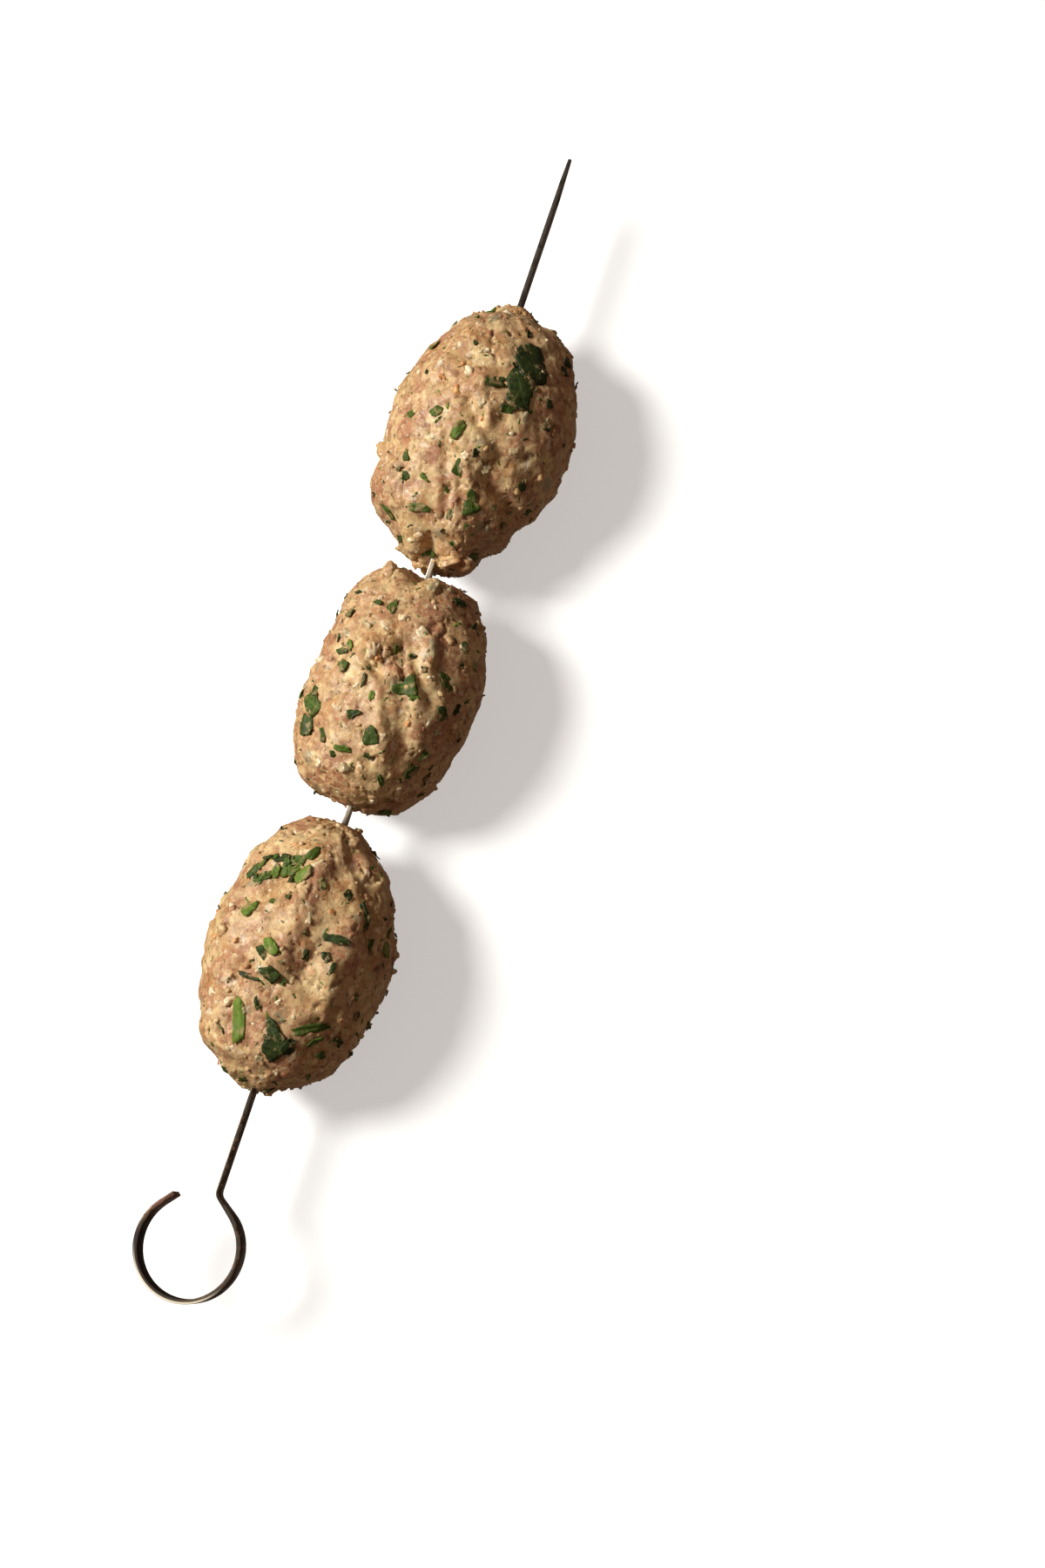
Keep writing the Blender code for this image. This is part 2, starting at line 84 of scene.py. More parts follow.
# %% [markdown]
# ## Camera
# The skewer is seen from almost straight above, with its point towards the top of the picture. The camera
# could be aimed with a constraint, but a place, a point looked at and a roll say the same in three plain
# values.

# %% Camera
CAMERA_PLACE = Vector((-96.33, -124.69, 529.23)) * MM
CAMERA_AIM = Vector((-5.6, -35.06, 0.0)) * MM
CAMERA_ROLL = math.radians(-27.37)
LENS = 50.0

camera = bpy.data.objects.new("camera", bpy.data.cameras.new("camera"))
bpy.context.scene.collection.objects.link(camera)
camera.data.lens = LENS
camera.location = CAMERA_PLACE
camera.rotation_mode = "QUATERNION"
look = (CAMERA_AIM - CAMERA_PLACE).to_track_quat("-Z", "Y")
camera.rotation_quaternion = look @ Quaternion((0, 0, 1), CAMERA_ROLL)
bpy.context.scene.camera = camera
print("camera", round((CAMERA_AIM - CAMERA_PLACE).length / MM), "mm from the table")

# %% [markdown]
# ## Light and floor
# One large soft light stands to the left of the picture, half way up the sky, so that every crumb throws
# a small shadow and the far side falls off to brown. The world gives a faint, warm fill. The floor is a
# plain pale sheet with a glow of its own that makes it white. Only the camera sees it: a white sheet that
# shone on the meat from below would take the shade out of its far side.

# %% Light and floor
KEY_FROM = Vector((0.0, 0.76, 0.83))
KEY_SIZE = 0.46
KEY_POWER = 17.3
KEY_COLOUR = (1.0, 1.0, 0.95)
FILL_STRENGTH = 0.15
FILL_COLOUR = (1.0, 0.72, 0.54, 1.0)
FLOOR_SIZE = 6.0
FLOOR_COLOUR = (0.90, 0.90, 0.90, 1.0)
FLOOR_GLOW = 0.50

key = bpy.data.objects.new("key", bpy.data.lights.new("key", "AREA"))
bpy.context.scene.collection.objects.link(key)
key.data.shape = "DISK"
key.data.size = KEY_SIZE
key.data.energy = KEY_POWER
key.data.color = KEY_COLOUR
key.location = KEY_FROM
key.rotation_mode = "QUATERNION"
key.rotation_quaternion = (-KEY_FROM).to_track_quat("-Z", "Y")

world = bpy.data.worlds.new("fill")
bpy.context.scene.world = world
world.use_nodes = True
world.node_tree.nodes["Background"].inputs["Color"].default_value = FILL_COLOUR
world.node_tree.nodes["Background"].inputs["Strength"].default_value = FILL_STRENGTH
bpy.context.scene.view_settings.view_transform = "Standard"

floor_mesh = bpy.data.meshes.new("floor")
sheet = bmesh.new()
bmesh.ops.create_grid(sheet, x_segments=1, y_segments=1, size=FLOOR_SIZE / 2)
sheet.to_mesh(floor_mesh)
sheet.free()
floor = bpy.data.objects.new("floor", floor_mesh)
bpy.context.scene.collection.objects.link(floor)
floor_paint = bpy.data.materials.new("pale floor")
floor_paint.use_nodes = True
floor_shader = floor_paint.node_tree.nodes["Principled BSDF"]
floor_shader.inputs["Base Color"].default_value = FLOOR_COLOUR
floor_shader.inputs["Roughness"].default_value = 0.8
floor_shader.inputs["Emission Color"].default_value = FLOOR_COLOUR
floor_shader.inputs["Emission Strength"].default_value = FLOOR_GLOW
floor_mesh.materials.append(floor_paint)
floor.visible_diffuse = False
floor.visible_glossy = False
print("one soft light", round(KEY_FROM.length, 2), "m away, and a floor of", FLOOR_SIZE, "m")

# %% [markdown]
# ## The three lumps in numbers
# A cook's hand presses each lump a little differently, so each one keeps its own outline: half widths on
# its two sides at stations along it. Creases are where the mince folded over itself. The solids have
# those too. Folds are the smaller ridges and furrows that only the skin shows. Leaves and bits are the
# pieces that catch the eye, each with its place, size and turn. Everything smaller is scattered by a rule
# further down.

# %% Outlines, creases, folds, leaves and bits, in millimetres and degrees
# outline: (along, half width towards +Y, half width towards -Y)
# creases: (from, to, depth, width)
# folds: (points, height, width), where a height below zero makes a furrow
# leaves: (along, across, length, width, turn, cut, tone)
#   cut is the shape, tone runs from 0, dark, to 1, bright
# bits: (along, across, size, stuff)
LUMPS = {
    "handle_end": {
        "start": 25.6,
        "length": 67.0,
        "outline": [
            (2.4, 7.5, 7.0), (7.4, 15.5, 14.2), (13.4, 18.2, 18.0), (22.4, 21.0, 20.8),
            (31.4, 22.4, 22.2), (37.4, 22.8, 21.8), (43.4, 21.4, 21.2), (49.4, 19.4, 18.4),
            (58.4, 16.4, 13.6), (64.4, 12.0, 6.6),
        ],
        "creases": [
            ((46, 9), (56, 0), 0.9, 2.2),
            ((16, 9), (26, 9), 0.8, 2.0),
            ((52, -13), (62, -5), 1.2, 2.4),
            ((19, -15), (34, -17), 0.9, 2.2),
        ],
        "folds": [
            (((57, 0), (47, -0.4), (31, -0.6)), 0.9, 6.0),
            (((55, -7), (40, -8), (24, -7.5)), -0.9, 6.5),
            (((37, 14.5), (24, 12.5), (13, 10)), 0.8, 4.5),
            (((27, 6.5), (23, 2.5), (25, -3)), -0.8, 2.0),
            (((44, -17), (40, -19)), -1.6, 2.6),
            (((15, 0), (16, -8), (20, -16)), -0.8, 2.6),
            (((59, 9), (57.5, 2)), 0.8, 4.0),
            (((33, -13), (22, -13)), 0.7, 4.0),
        ],
        "leaves": [
            (48.7, 14.4, 4.7, 2.4, -12, "torn", 0.35), (48.2, 10.5, 4.6, 2.6, -40, "torn", 0.45),
            (53.4, 8.4, 5.2, 2.2, -70, "strip", 0.15), (51.8, 5.8, 4.8, 4.2, 20, "lobed", 0.60),
            (54.4, 3.8, 4.6, 2.8, -50, "torn", 0.55), (51.1, 1.4, 5.4, 3.6, -25, "oval", 0.85),
            (56.7, 1.1, 4.2, 2.2, -20, "strip", 0.50), (49.1, 3.9, 2.6, 2.0, 40, "torn", 0.15),
            (46.3, 11.5, 2.8, 1.8, 0, "strip", 0.50), (52.7, 11.9, 3.2, 1.6, -60, "strip", 0.20),
            (39.4, 11.1, 4.9, 4.6, 200, "shield", 0.75), (32.3, 1.9, 5.3, 2.9, 50, "oval", 0.85),
            (26.3, 0.7, 5.6, 4.4, 80, "torn", 0.18), (30.4, 3.4, 4.2, 1.9, 40, "strip", 0.20),
            (24.6, 5.4, 5.8, 1.3, 87, "strip", 0.12), (14.5, 5.0, 11.6, 3.2, 12, "strip", 0.85),
            (12.9, -4.4, 10.4, 8.2, 40, "lobed", 0.12), (12.0, -7.8, 4.8, 4.0, 20, "torn", 0.10),
            (17.6, -11.7, 9.6, 2.5, 120, "strip", 0.45), (15.0, -12.9, 4.4, 2.1, -33, "strip", 0.65),
            (12.6, -14.6, 3.0, 2.1, -90, "torn", 0.35), (49.6, -9.7, 3.0, 2.4, 0, "torn", 0.10),
            (46.4, -15.0, 7.0, 2.0, 30, "strip", 0.15), (38.7, -11.3, 7.4, 2.2, 98, "strip", 0.15),
            (34.1, -10.2, 3.0, 2.6, 60, "torn", 0.10), (31.6, -12.6, 4.0, 1.5, -5, "strip", 0.15),
            (33.0, -5.7, 3.0, 1.8, 10, "torn", 0.10), (40.8, -20.7, 4.0, 3.2, 0, "oval", 0.85),
            (45.0, 2.5, 2.5, 1.6, 20, "torn", 0.30), (42.6, 6.0, 1.9, 1.3, 80, "oval", 0.55),
            (50.9, 12.6, 3.6, 2.0, -35, "torn", 0.55), (50.2, 8.4, 3.8, 2.4, 10, "torn", 0.70),
            (53.3, 10.2, 2.8, 1.5, -65, "strip", 0.45), (53.2, 6.2, 3.0, 1.8, -30, "torn", 0.30),
            (52.4, 3.4, 3.2, 2.0, -10, "torn", 0.75), (47.2, 13.0, 2.6, 1.6, 10, "torn", 0.30),
            (19.4, 1.4, 3.6, 1.6, 30, "strip", 0.20), (11.3, 9.1, 3.6, 1.1, 45, "strip", 0.30),
            (23.8, -19.3, 2.4, 1.7, 0, "torn", 0.10), (1.9, 2.3, 2.8, 2.1, 40, "torn", 0.60),
        ],
        "bits": [
            (62.7, -5.9, 3.8, "crumb"), (54.6, -1.0, 3.0, "fat"), (7.1, -1.2, 4.2, "onion"),
            (20.9, -3.4, 2.8, "fat"), (33.0, 15.5, 3.2, "crumb"), (41.6, -3.9, 2.9, "fat"),
            (16.7, 4.7, 2.4, "onion"), (17.6, 9.6, 4.4, "fat"), (57.5, 6.8, 3.0, "spiced"),
            (31.3, 11.2, 2.0, "spiced"), (44.3, -7.6, 2.4, "spiced"), (64.1, 1.8, 2.6, "crumb"),
            (26.4, 3.0, 2.6, "onion"),
        ],
        "seed": 3,
    },
    "middle": {
        "start": 97.5,
        "length": 60.0,
        "outline": [
            (1.5, 11.5, 9.0), (4.5, 15.4, 13.2), (10.5, 18.2, 17.0), (16.5, 19.6, 19.0),
            (25.5, 20.6, 21.2), (34.5, 19.4, 22.0), (43.5, 18.8, 20.2), (52.5, 16.0, 16.8),
            (58.5, 9.8, 10.0),
        ],
        "creases": [
            ((36, 1), (18, -7), 1.0, 2.2),
            ((33, 4), (30, -1), 1.6, 2.0),
            ((24, 19), (29, 13), 1.4, 2.4),
            ((40, -12), (28, -14), 0.9, 2.2),
            ((61, 0.6), (57, 0), 2.6, 5.0),
        ],
        "folds": [
            (((36.0, 4.2), (33.6, 2.6)), 1.3, 4.5),
            (((30.8, 2.6), (30.6, 0.8)), -2.2, 2.2),
            (((37, 1.5), (29.6, -2.2), (22, -4.6), (9, -7.5)), 1.0, 5.0),
            (((37, -3.5), (30, -6.5), (22, -9), (12, -11.5)), -0.9, 4.0),
            (((41, -9.5), (34, -11.8), (29, -15.5)), 0.9, 3.6),
            (((39, -6.4), (32.6, -9.4), (27, -13.6)), -0.9, 2.2),
            (((50, 8), (44, 2), (38, -1)), 0.6, 5.0),
            (((12, 10), (8, 2), (9, -4)), -0.6, 3.0),
        ],
        "leaves": [
            (42.6, 12.2, 3.2, 2.6, 100, "torn", 0.30), (46.8, 2.0, 4.2, 2.4, -10, "torn", 0.60),
            (46.7, 5.8, 3.2, 1.4, 80, "strip", 0.35), (36.1, 12.6, 2.4, 1.7, 0, "torn", 0.15),
            (34.8, 8.7, 3.2, 1.6, 40, "strip", 0.80), (33.0, 10.3, 3.8, 1.5, 100, "strip", 0.30),
            (29.4, 9.1, 4.2, 3.2, 80, "torn", 0.40), (28.8, -7.2, 6.6, 5.6, 110, "lobed", 0.42),
            (27.0, 2.3, 3.8, 1.1, 0, "strip", 0.20), (24.0, -0.8, 2.6, 1.3, 10, "strip", 0.95),
            (33.4, -15.4, 5.4, 2.8, 50, "oval", 0.45), (19.5, 14.1, 7.6, 6.2, 70, "torn", 0.45),
            (14.4, 14.0, 5.8, 4.6, 30, "torn", 0.28), (22.6, 14.4, 3.2, 1.7, 30, "torn", 0.30),
            (15.2, -3.3, 4.8, 4.2, 15, "shield", 0.30), (10.4, 2.4, 4.9, 1.9, 95, "strip", 0.65),
            (12.4, 8.5, 4.0, 1.4, 30, "strip", 0.35), (8.8, 4.9, 2.1, 1.3, 60, "torn", 0.40),
            (25.7, -17.0, 4.4, 3.2, 60, "torn", 0.22), (28.4, -19.2, 3.2, 1.1, -10, "strip", 0.12),
            (10.9, -13.6, 4.8, 2.6, -25, "oval", 0.35), (6.4, -7.8, 3.8, 1.5, 45, "strip", 0.30),
            (53.8, -11.9, 4.4, 2.2, 100, "strip", 0.10), (43.2, -16.6, 2.6, 1.8, 20, "torn", 0.12),
            (49.6, -16.6, 1.9, 1.5, 0, "torn", 0.05), (38.5, -17.4, 1.9, 1.6, 0, "torn", 0.10),
            (34.0, -10.4, 1.9, 1.6, 50, "torn", 0.08), (10.5, -3.6, 2.2, 1.1, 70, "strip", 0.35),
            (30.8, -4.8, 1.9, 1.3, 0, "torn", 0.25),
        ],
        "bits": [
            (57.0, 7.4, 4.2, "crumb"), (55.2, -5.4, 3.4, "onion"), (56.4, -8.8, 3.0, "onion"),
            (37.2, 11.2, 3.4, "onion"), (42.3, -6.9, 3.2, "fat"), (25.7, 3.9, 2.6, "fat"),
            (48.5, 5.7, 1.9, "fat"), (44.7, -1.5, 2.6, "fat"), (15.8, -6.4, 2.5, "fat"),
            (5.7, 7.5, 2.6, "fat"), (32.7, -12.3, 2.5, "fat"), (19.4, 6.8, 2.2, "fat"),
            (40.7, 6.3, 4.0, "onion"), (37.9, -11.4, 2.8, "onion"), (6.1, 0.4, 3.6, "onion"),
            (34.2, 2.8, 3.4, "fat"), (32.9, 0.8, 2.2, "spiced"), (20.6, -10.4, 2.0, "spiced"),
            (31.4, -4.6, 2.8, "crumb"),
        ],
        "seed": 5,
    },
    "point_end": {
        "start": 160.0,
        "length": 71.5,
        "outline": [
            (2.0, 7.8, 8.8), (5.0, 11.5, 10.0), (11.0, 18.8, 15.0), (17.0, 20.9, 16.6),
            (23.0, 20.6, 20.4), (32.0, 21.6, 23.0), (41.0, 22.0, 23.0), (50.0, 19.6, 21.8),
            (59.0, 15.8, 18.0), (65.0, 10.4, 14.0), (68.0, 6.6, 7.0),
        ],
        "creases": [
            ((17, -18), (22, -9), 2.0, 2.8),
            ((22, -9), (25, 3), 1.4, 2.4),
            ((25, 3), (24, 19), 1.0, 2.6),
            ((38, 0), (31, -7), 1.1, 2.2),
            ((23, -2), (13, -6), 0.9, 2.2),
            ((-1, 1.2), (3.5, 1), 3.0, 5.0),
        ],
        "folds": [
            (((46, -1), (39, -2.2), (35, -6)), 0.9, 3.6),
            (((29, -0.6), (23.5, -3.4), (18, -6)), 1.0, 4.5),
            (((29, 2.4), (20.6, 0.4), (10, -3)), -0.9, 2.8),
            (((35, -9), (27, -11), (19.6, -12)), -0.9, 5.0),
            (((37, -4.2), (33, -3.6)), -1.0, 1.8),
            (((52, -3), (45, -6)), -0.6, 3.0),
            (((16, 14), (9, 9), (4, 3)), 0.7, 5.0),
            (((60, 6), (50, 10), (38, 12)), 0.6, 7.0),
        ],
        "leaves": [
            (52.6, -11.2, 12.6, 9.2, 25, "oval", 0.10), (44.4, -10.9, 11.8, 8.4, 30, "torn", 0.12),
            (44.0, -4.3, 5.6, 3.4, 110, "shield", 0.25), (49.7, -8.2, 3.2, 2.1, 60, "torn", 0.12),
            (38.7, -9.9, 4.4, 2.7, -60, "torn", 0.32), (33.4, 6.8, 3.4, 2.2, -50, "oval", 0.60),
            (29.9, -0.1, 5.6, 2.8, -18, "oval", 0.60), (21.5, -2.3, 4.6, 2.8, 15, "torn", 0.40),
            (25.7, -5.8, 2.3, 1.8, 30, "torn", 0.05), (15.1, -7.3, 6.2, 4.6, 25, "lobed", 0.40),
            (10.3, 4.2, 5.8, 2.4, 100, "strip", 0.48), (8.7, 12.8, 5.4, 2.8, 20, "torn", 0.55),
            (39.4, -18.6, 3.2, 2.4, 10, "torn", 0.12), (44.5, -17.8, 2.6, 2.0, 50, "torn", 0.10),
            (55.5, -17.4, 3.0, 2.4, 30, "torn", 0.08), (23.9, -17.4, 3.4, 1.9, 10, "strip", 0.15),
            (16.6, 9.8, 2.7, 2.2, 60, "torn", 0.30), (18.2, 12.0, 1.7, 1.3, 0, "torn", 0.35),
            (10.9, -3.5, 3.2, 1.6, -10, "strip", 0.25), (5.2, -5.2, 2.2, 1.4, 80, "torn", 0.50),
            (6.9, -2.5, 1.9, 1.4, 0, "torn", 0.05), (52.9, 3.4, 1.5, 1.1, 60, "torn", 0.20),
            (43.1, 13.0, 1.6, 1.1, 20, "torn", 0.15), (60.5, -7.4, 2.2, 1.4, 20, "torn", 0.08),
        ],
        "bits": [
            (66.6, 0.9, 4.0, "fat"), (24.5, 20.2, 4.2, "crumb"), (24.5, -4.0, 2.8, "fat"),
            (45.4, 2.4, 3.2, "fat"), (4.9, 3.4, 2.6, "crumb"), (51.5, 0.2, 2.8, "fat"),
            (28.0, 5.3, 2.8, "fat"), (34.0, 4.8, 1.8, "fat"), (39.3, 3.6, 3.2, "spiced"),
            (46.9, 4.4, 2.0, "spiced"), (34.4, -4.6, 2.2, "spiced"), (3.4, 5.2, 2.0, "fat"),
            (38.6, -3.4, 3.6, "onion"), (23.9, -8.4, 3.2, "onion"), (3.2, -6.2, 3.0, "crumb"),
            (30.0, -14.0, 2.8, "onion"), (1.6, -4.8, 4.6, "crumb"), (2.4, -8.2, 4.2, "crumb"),
        ],
        "seed": 8,
    },
}
placed = {name: len(lump["leaves"]) + len(lump["bits"]) for name, lump in LUMPS.items()}
print("pieces placed by hand:", placed)

# %% [markdown]
# ## The form of a lump
# A lump could be sculpted, but its form follows a rule that is easy to read: at each station the section
# is a rounded box round the skewer, as wide as the outline says and about nine tenths as tall. The
# section shrinks to nothing at both ends, coarse noise makes it uneven, and creases and folds run over
# the top.

# %% Functions that carry a point of a ball to the skin
TOP_SHARE = 0.90
BOTTOM_SHARE = 0.95
END_FULLNESS = 2.3
TOP_SQUARENESS = 2.1
BOTTOM_SQUARENESS = 2.5
LUMP_SIZE = 13 * MM
LUMP_HEIGHT = 1.0 * MM
CRAG_SIZE = 5.5 * MM
CRAG_HEIGHT = 0.9 * MM
CREASE_RISE = 3
OUTWARD_ALONG = 0.6
NOISE_STRIDE = 2.3


def between_stations(places, values, at):
    """A smooth curve through values given at places, level past the first and the last"""
    at = min(max(at, places[0]), places[-1])
    i = max(k for k in range(len(places) - 1) if places[k] <= at)
    slopes = []
    for k in (i, i + 1):
        before, after = max(k - 1, 0), min(k + 1, len(places) - 1)
        slopes.append((values[after] - values[before]) / (places[after] - places[before]))
    run = places[i + 1] - places[i]
    t = (at - places[i]) / run
    start, end = values[i], values[i + 1]
    return (start * (2 * t ** 3 - 3 * t ** 2 + 1) + slopes[0] * run * (t ** 3 - 2 * t ** 2 + t)
            + end * (3 * t ** 2 - 2 * t ** 3) + slopes[1] * run * (t ** 3 - t ** 2))


def end_rounding(share):
    """How full a lump is at a share of its length: 0 at its ends, 1 in the middle"""
    reach = min(abs(2 * share - 1), 1.0)
    return (1 - reach ** END_FULLNESS) ** (1 / END_FULLNESS)


@lru_cache(maxsize=None)
def half_width(name, share, side):
    """A lump's half width in metres on the +Y side (side 1) or the -Y side (side 2)"""
    lump = LUMPS[name]
    places = [station[0] / lump["length"] for station in lump["outline"]]
    fullness = [station[side] / end_rounding(station[0] / lump["length"]) for station in lump["outline"]]
    return between_stations(places, fullness, share) * end_rounding(share) * MM


def section_reach(name, share, up, aside):
    """How far the skin lies from the skewer, in the direction (aside, up) across it"""
    left, right = half_width(name, share, 1), half_width(name, share, 2)
    wide = left if aside > 0 else right
    mean = (left + right) / 2
    if mean <= 0:
        return 0.0
    tall = mean * (TOP_SHARE if up > 0 else BOTTOM_SHARE)
    power = TOP_SQUARENESS if up > 0 else BOTTOM_SQUARENESS
    return ((abs(aside) / wide) ** power + (abs(up) / tall) ** power) ** (-1 / power)


def away_from(first, last, place):
    """How far a place lies from a straight stroke, all three in millimetres in plan"""
    first, last = Vector(first), Vector(last)
    run = last - first
    t = min(max((place - first).dot(run) / run.length_squared, 0.0), 1.0)
    return (place - first - run * t).length


def crease_depth(name, place):
    """How deep the creases run at a place on the top, measured in plan from the lump's start"""
    flat = place.to_2d() / MM
    depths = [deep * math.exp(-(2 * away_from(first, last, flat) / wide) ** 2)
              for first, last, deep, wide in LUMPS[name]["creases"]]
    return max(depths) * MM


def fold_height(name, place):
    """How much the folds raise a place on the top or, below zero, lower it"""
    flat = place.to_2d() / MM
    height = 0.0
    for points, high, wide in LUMPS[name]["folds"]:
        away = min(away_from(first, last, flat) for first, last in zip(points, points[1:]))
        height += high * math.exp(-(2 * away / wide) ** 2)
    return height * MM


def skin_place(name, direction):
    """Carries a point of a unit sphere with its poles along X to the skin, from the lump's start"""
    lump = LUMPS[name]
    share = round((1 + direction.x) / 2, 6)
    across = Vector((direction.y, direction.z))
    if across.length < 1e-6:
        return Vector((share * lump["length"] * MM, 0.0, 0.0))
    across.normalize()
    reach = section_reach(name, share, across.y, across.x)
    place = Vector((share * lump["length"] * MM, across.x * reach, across.y * reach))
    outward = Vector((direction.x * OUTWARD_ALONG, across.x, across.y)).normalized()
    offset = Vector((lump["seed"], NOISE_STRIDE * lump["seed"], 0.0))
    swell = LUMP_HEIGHT * noise.noise(place / LUMP_SIZE + offset)
    swell += CRAG_HEIGHT * noise.noise(place / CRAG_SIZE - offset)
    if across.y > 0:
        swell += (fold_height(name, place) - crease_depth(name, place)) * min(across.y * CREASE_RISE, 1.0)
    return place + outward * swell


def lump_start(name):
    """Where a lump's own measurements begin, on the skewer's axis"""
    return Vector((NECK_X + LUMPS[name]["start"] * MM, AXIS_Y, AXIS_HEIGHT))


for name in LUMPS:
    middle_widths = [round(half_width(name, 0.5, side) / MM, 1) for side in (1, 2)]
    print(name, "half widths at its middle, mm:", middle_widths)

# %% [markdown]
# ## A short way to write node trees
# The skin, the crumbs and the materials are all node trees. Building them in code keeps every size where
# it can be read. A few helpers are enough. One adds a node, and three short ones do its arithmetic. One
# opens a new geometry tree, one runs a tree on an object and keeps the result as a plain mesh, one puts
# that mesh in the scene, and one opens a new material.

# %% Helpers for node trees
def put(tree, kind, settings=None, inputs=None):
    """Adds a node. settings are its properties; inputs are values or output sockets, by name or number"""
    made = tree.nodes.new(kind)
    made.location = (180 * (len(tree.nodes) % 12), -220 * (len(tree.nodes) // 12))
    for name, value in (settings or {}).items():
        setattr(made, name, value)
    for name, value in (inputs or {}).items():
        if isinstance(value, bpy.types.NodeSocket):
            tree.links.new(value, made.inputs[name])
        else:
            made.inputs[name].default_value = value
    return made


def calc(tree, operation, *terms, clamp=False):
    """One step of arithmetic on values or sockets"""
    settings = {"operation": operation, "use_clamp": clamp}
    return put(tree, "ShaderNodeMath", settings, dict(enumerate(terms))).outputs[0]


def vector_calc(tree, operation, *terms, scale=None):
    """One step of vector arithmetic. scale is the factor of a SCALE step"""
    inputs = dict(enumerate(terms))
    if scale is not None:
        inputs["Scale"] = scale
    return put(tree, "ShaderNodeVectorMath", {"operation": operation}, inputs).outputs[0]


def remap(tree, value, low, high, new_low=0.0, new_high=1.0, kind="SMOOTHSTEP"):
    """Carries a value from one range to another, held at its ends"""
    inputs = {"Value": value, "From Min": low, "From Max": high, "To Min": new_low, "To Max": new_high}
    return put(tree, "ShaderNodeMapRange", {"interpolation_type": kind, "clamp": True}, inputs).outputs[0]


def geometry_tree(name, inputs):
    """A geometry tree with named inputs {name: (socket kind, default)}. Gives it and its two end nodes"""
    tree = bpy.data.node_groups.new(name, "GeometryNodeTree")
    tree.interface.new_socket("Geometry", in_out="INPUT", socket_type="NodeSocketGeometry")
    tree.interface.new_socket("Geometry", in_out="OUTPUT", socket_type="NodeSocketGeometry")
    for label, (kind, default) in inputs.items():
        socket = tree.interface.new_socket(label, in_out="INPUT", socket_type=kind)
        if default is not None:
            socket.default_value = default
    return tree, tree.nodes.new("NodeGroupInput"), tree.nodes.new("NodeGroupOutput")


def run_tree(thing, tree, values):
    """Runs a geometry tree on an object with named values, and gives the result as a plain mesh"""
    modifier = thing.modifiers.new(tree.name, "NODES")
    modifier.node_group = tree
    for item in tree.interface.items_tree:
        if item.in_out == "INPUT" and item.name in values:
            modifier[item.identifier] = values[item.name]
    bpy.context.view_layer.update()
    evaluated = thing.evaluated_get(bpy.context.evaluated_depsgraph_get())
    mesh = bpy.data.meshes.new_from_object(evaluated)
    thing.modifiers.remove(modifier)
    return mesh


def show(name, mesh, replaced=None):
    """Puts a finished mesh in the scene as a piece that rides on the part"""
    mesh.name = name
    piece = bpy.data.objects.new(name, mesh)
    bpy.context.scene.collection.objects.link(piece)
    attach(piece, "root")
    if replaced:
        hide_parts(replaced)
    triangles = sum(len(face.vertices) - 2 for face in mesh.polygons)
    print(name, triangles, "triangles")
    return piece


def new_material(name):
    """An empty material and its tree, with the Principled BSDF already in it"""
    made = bpy.data.materials.new(name)
    made.use_nodes = True
    return made, made.node_tree, made.node_tree.nodes["Principled BSDF"]


print("helpers ready")

# %% [markdown]
# ## A shader group for flecks
# Fat, spice and shreds of herb all show as small scattered flecks of their own size. Each could be
# painted alone, but one group does them all: it cuts space into cells, keeps a share of them at random,
# and draws a ragged spot of its own size in each kept cell.

# %% The fleck group
def socket(tree, label, direction, kind="NodeSocketFloat"):
    """A named socket on a group's outside"""
    return tree.interface.new_socket(label, in_out=direction, socket_type=kind)


def make_fleck_group():
    """Flecks of a Size in mm at a Position in mm, in a Share of the cells. Gives their mask"""
    tree = bpy.data.node_groups.new("flecks", "ShaderNodeTree")
    socket(tree, "Position", "INPUT", "NodeSocketVector")
    for label in ("Size", "Share", "Seed", "Ragged"):
        socket(tree, label, "INPUT")
    socket(tree, "Mask", "OUTPUT")
    start, end = tree.nodes.new("NodeGroupInput"), tree.nodes.new("NodeGroupOutput")
    ask = start.outputs
    shift = put(tree, "ShaderNodeCombineXYZ", inputs={0: ask["Seed"], 1: ask["Seed"]}).outputs[0]
    place = vector_calc(tree, "ADD", ask["Position"], shift)
    near = calc(tree, "DIVIDE", 1.0, ask["Size"])
    wobble = put(tree, "ShaderNodeTexNoise", inputs={
        "Vector": place, "Scale": calc(tree, "MULTIPLY", near, 2.4), "Detail": 3.0, "Roughness": 0.6})
    push = vector_calc(tree, "SUBTRACT", wobble.outputs["Color"], (0.5, 0.5, 0.5))
    push = vector_calc(tree, "SCALE", push, scale=calc(tree, "MULTIPLY", ask["Size"], ask["Ragged"]))
    cells = put(tree, "ShaderNodeTexVoronoi", {"feature": "F1"},
                {"Vector": vector_calc(tree, "ADD", place, push), "Scale": near})
    parts = put(tree, "ShaderNodeSeparateColor", inputs={0: cells.outputs["Color"]})
    kept = calc(tree, "LESS_THAN", parts.outputs[0], ask["Share"])
    reach = remap(tree, parts.outputs[1], 0.0, 1.0, 0.20, 0.46, "LINEAR")
    spot = remap(tree, calc(tree, "SUBTRACT", reach, cells.outputs["Distance"]), -0.04, 0.10)
    tree.links.new(calc(tree, "MULTIPLY", kept, spot), end.inputs["Mask"])
    return tree


FLECKS = make_fleck_group()


def flecks(tree, place, size, share, seed, ragged=1.5):
    """Places the fleck group in a material, and gives its mask"""
    group = put(tree, "ShaderNodeGroup", {"node_tree": FLECKS},
                {"Position": place, "Size": size, "Share": share, "Seed": seed, "Ragged": ragged})
    return group.outputs["Mask"]


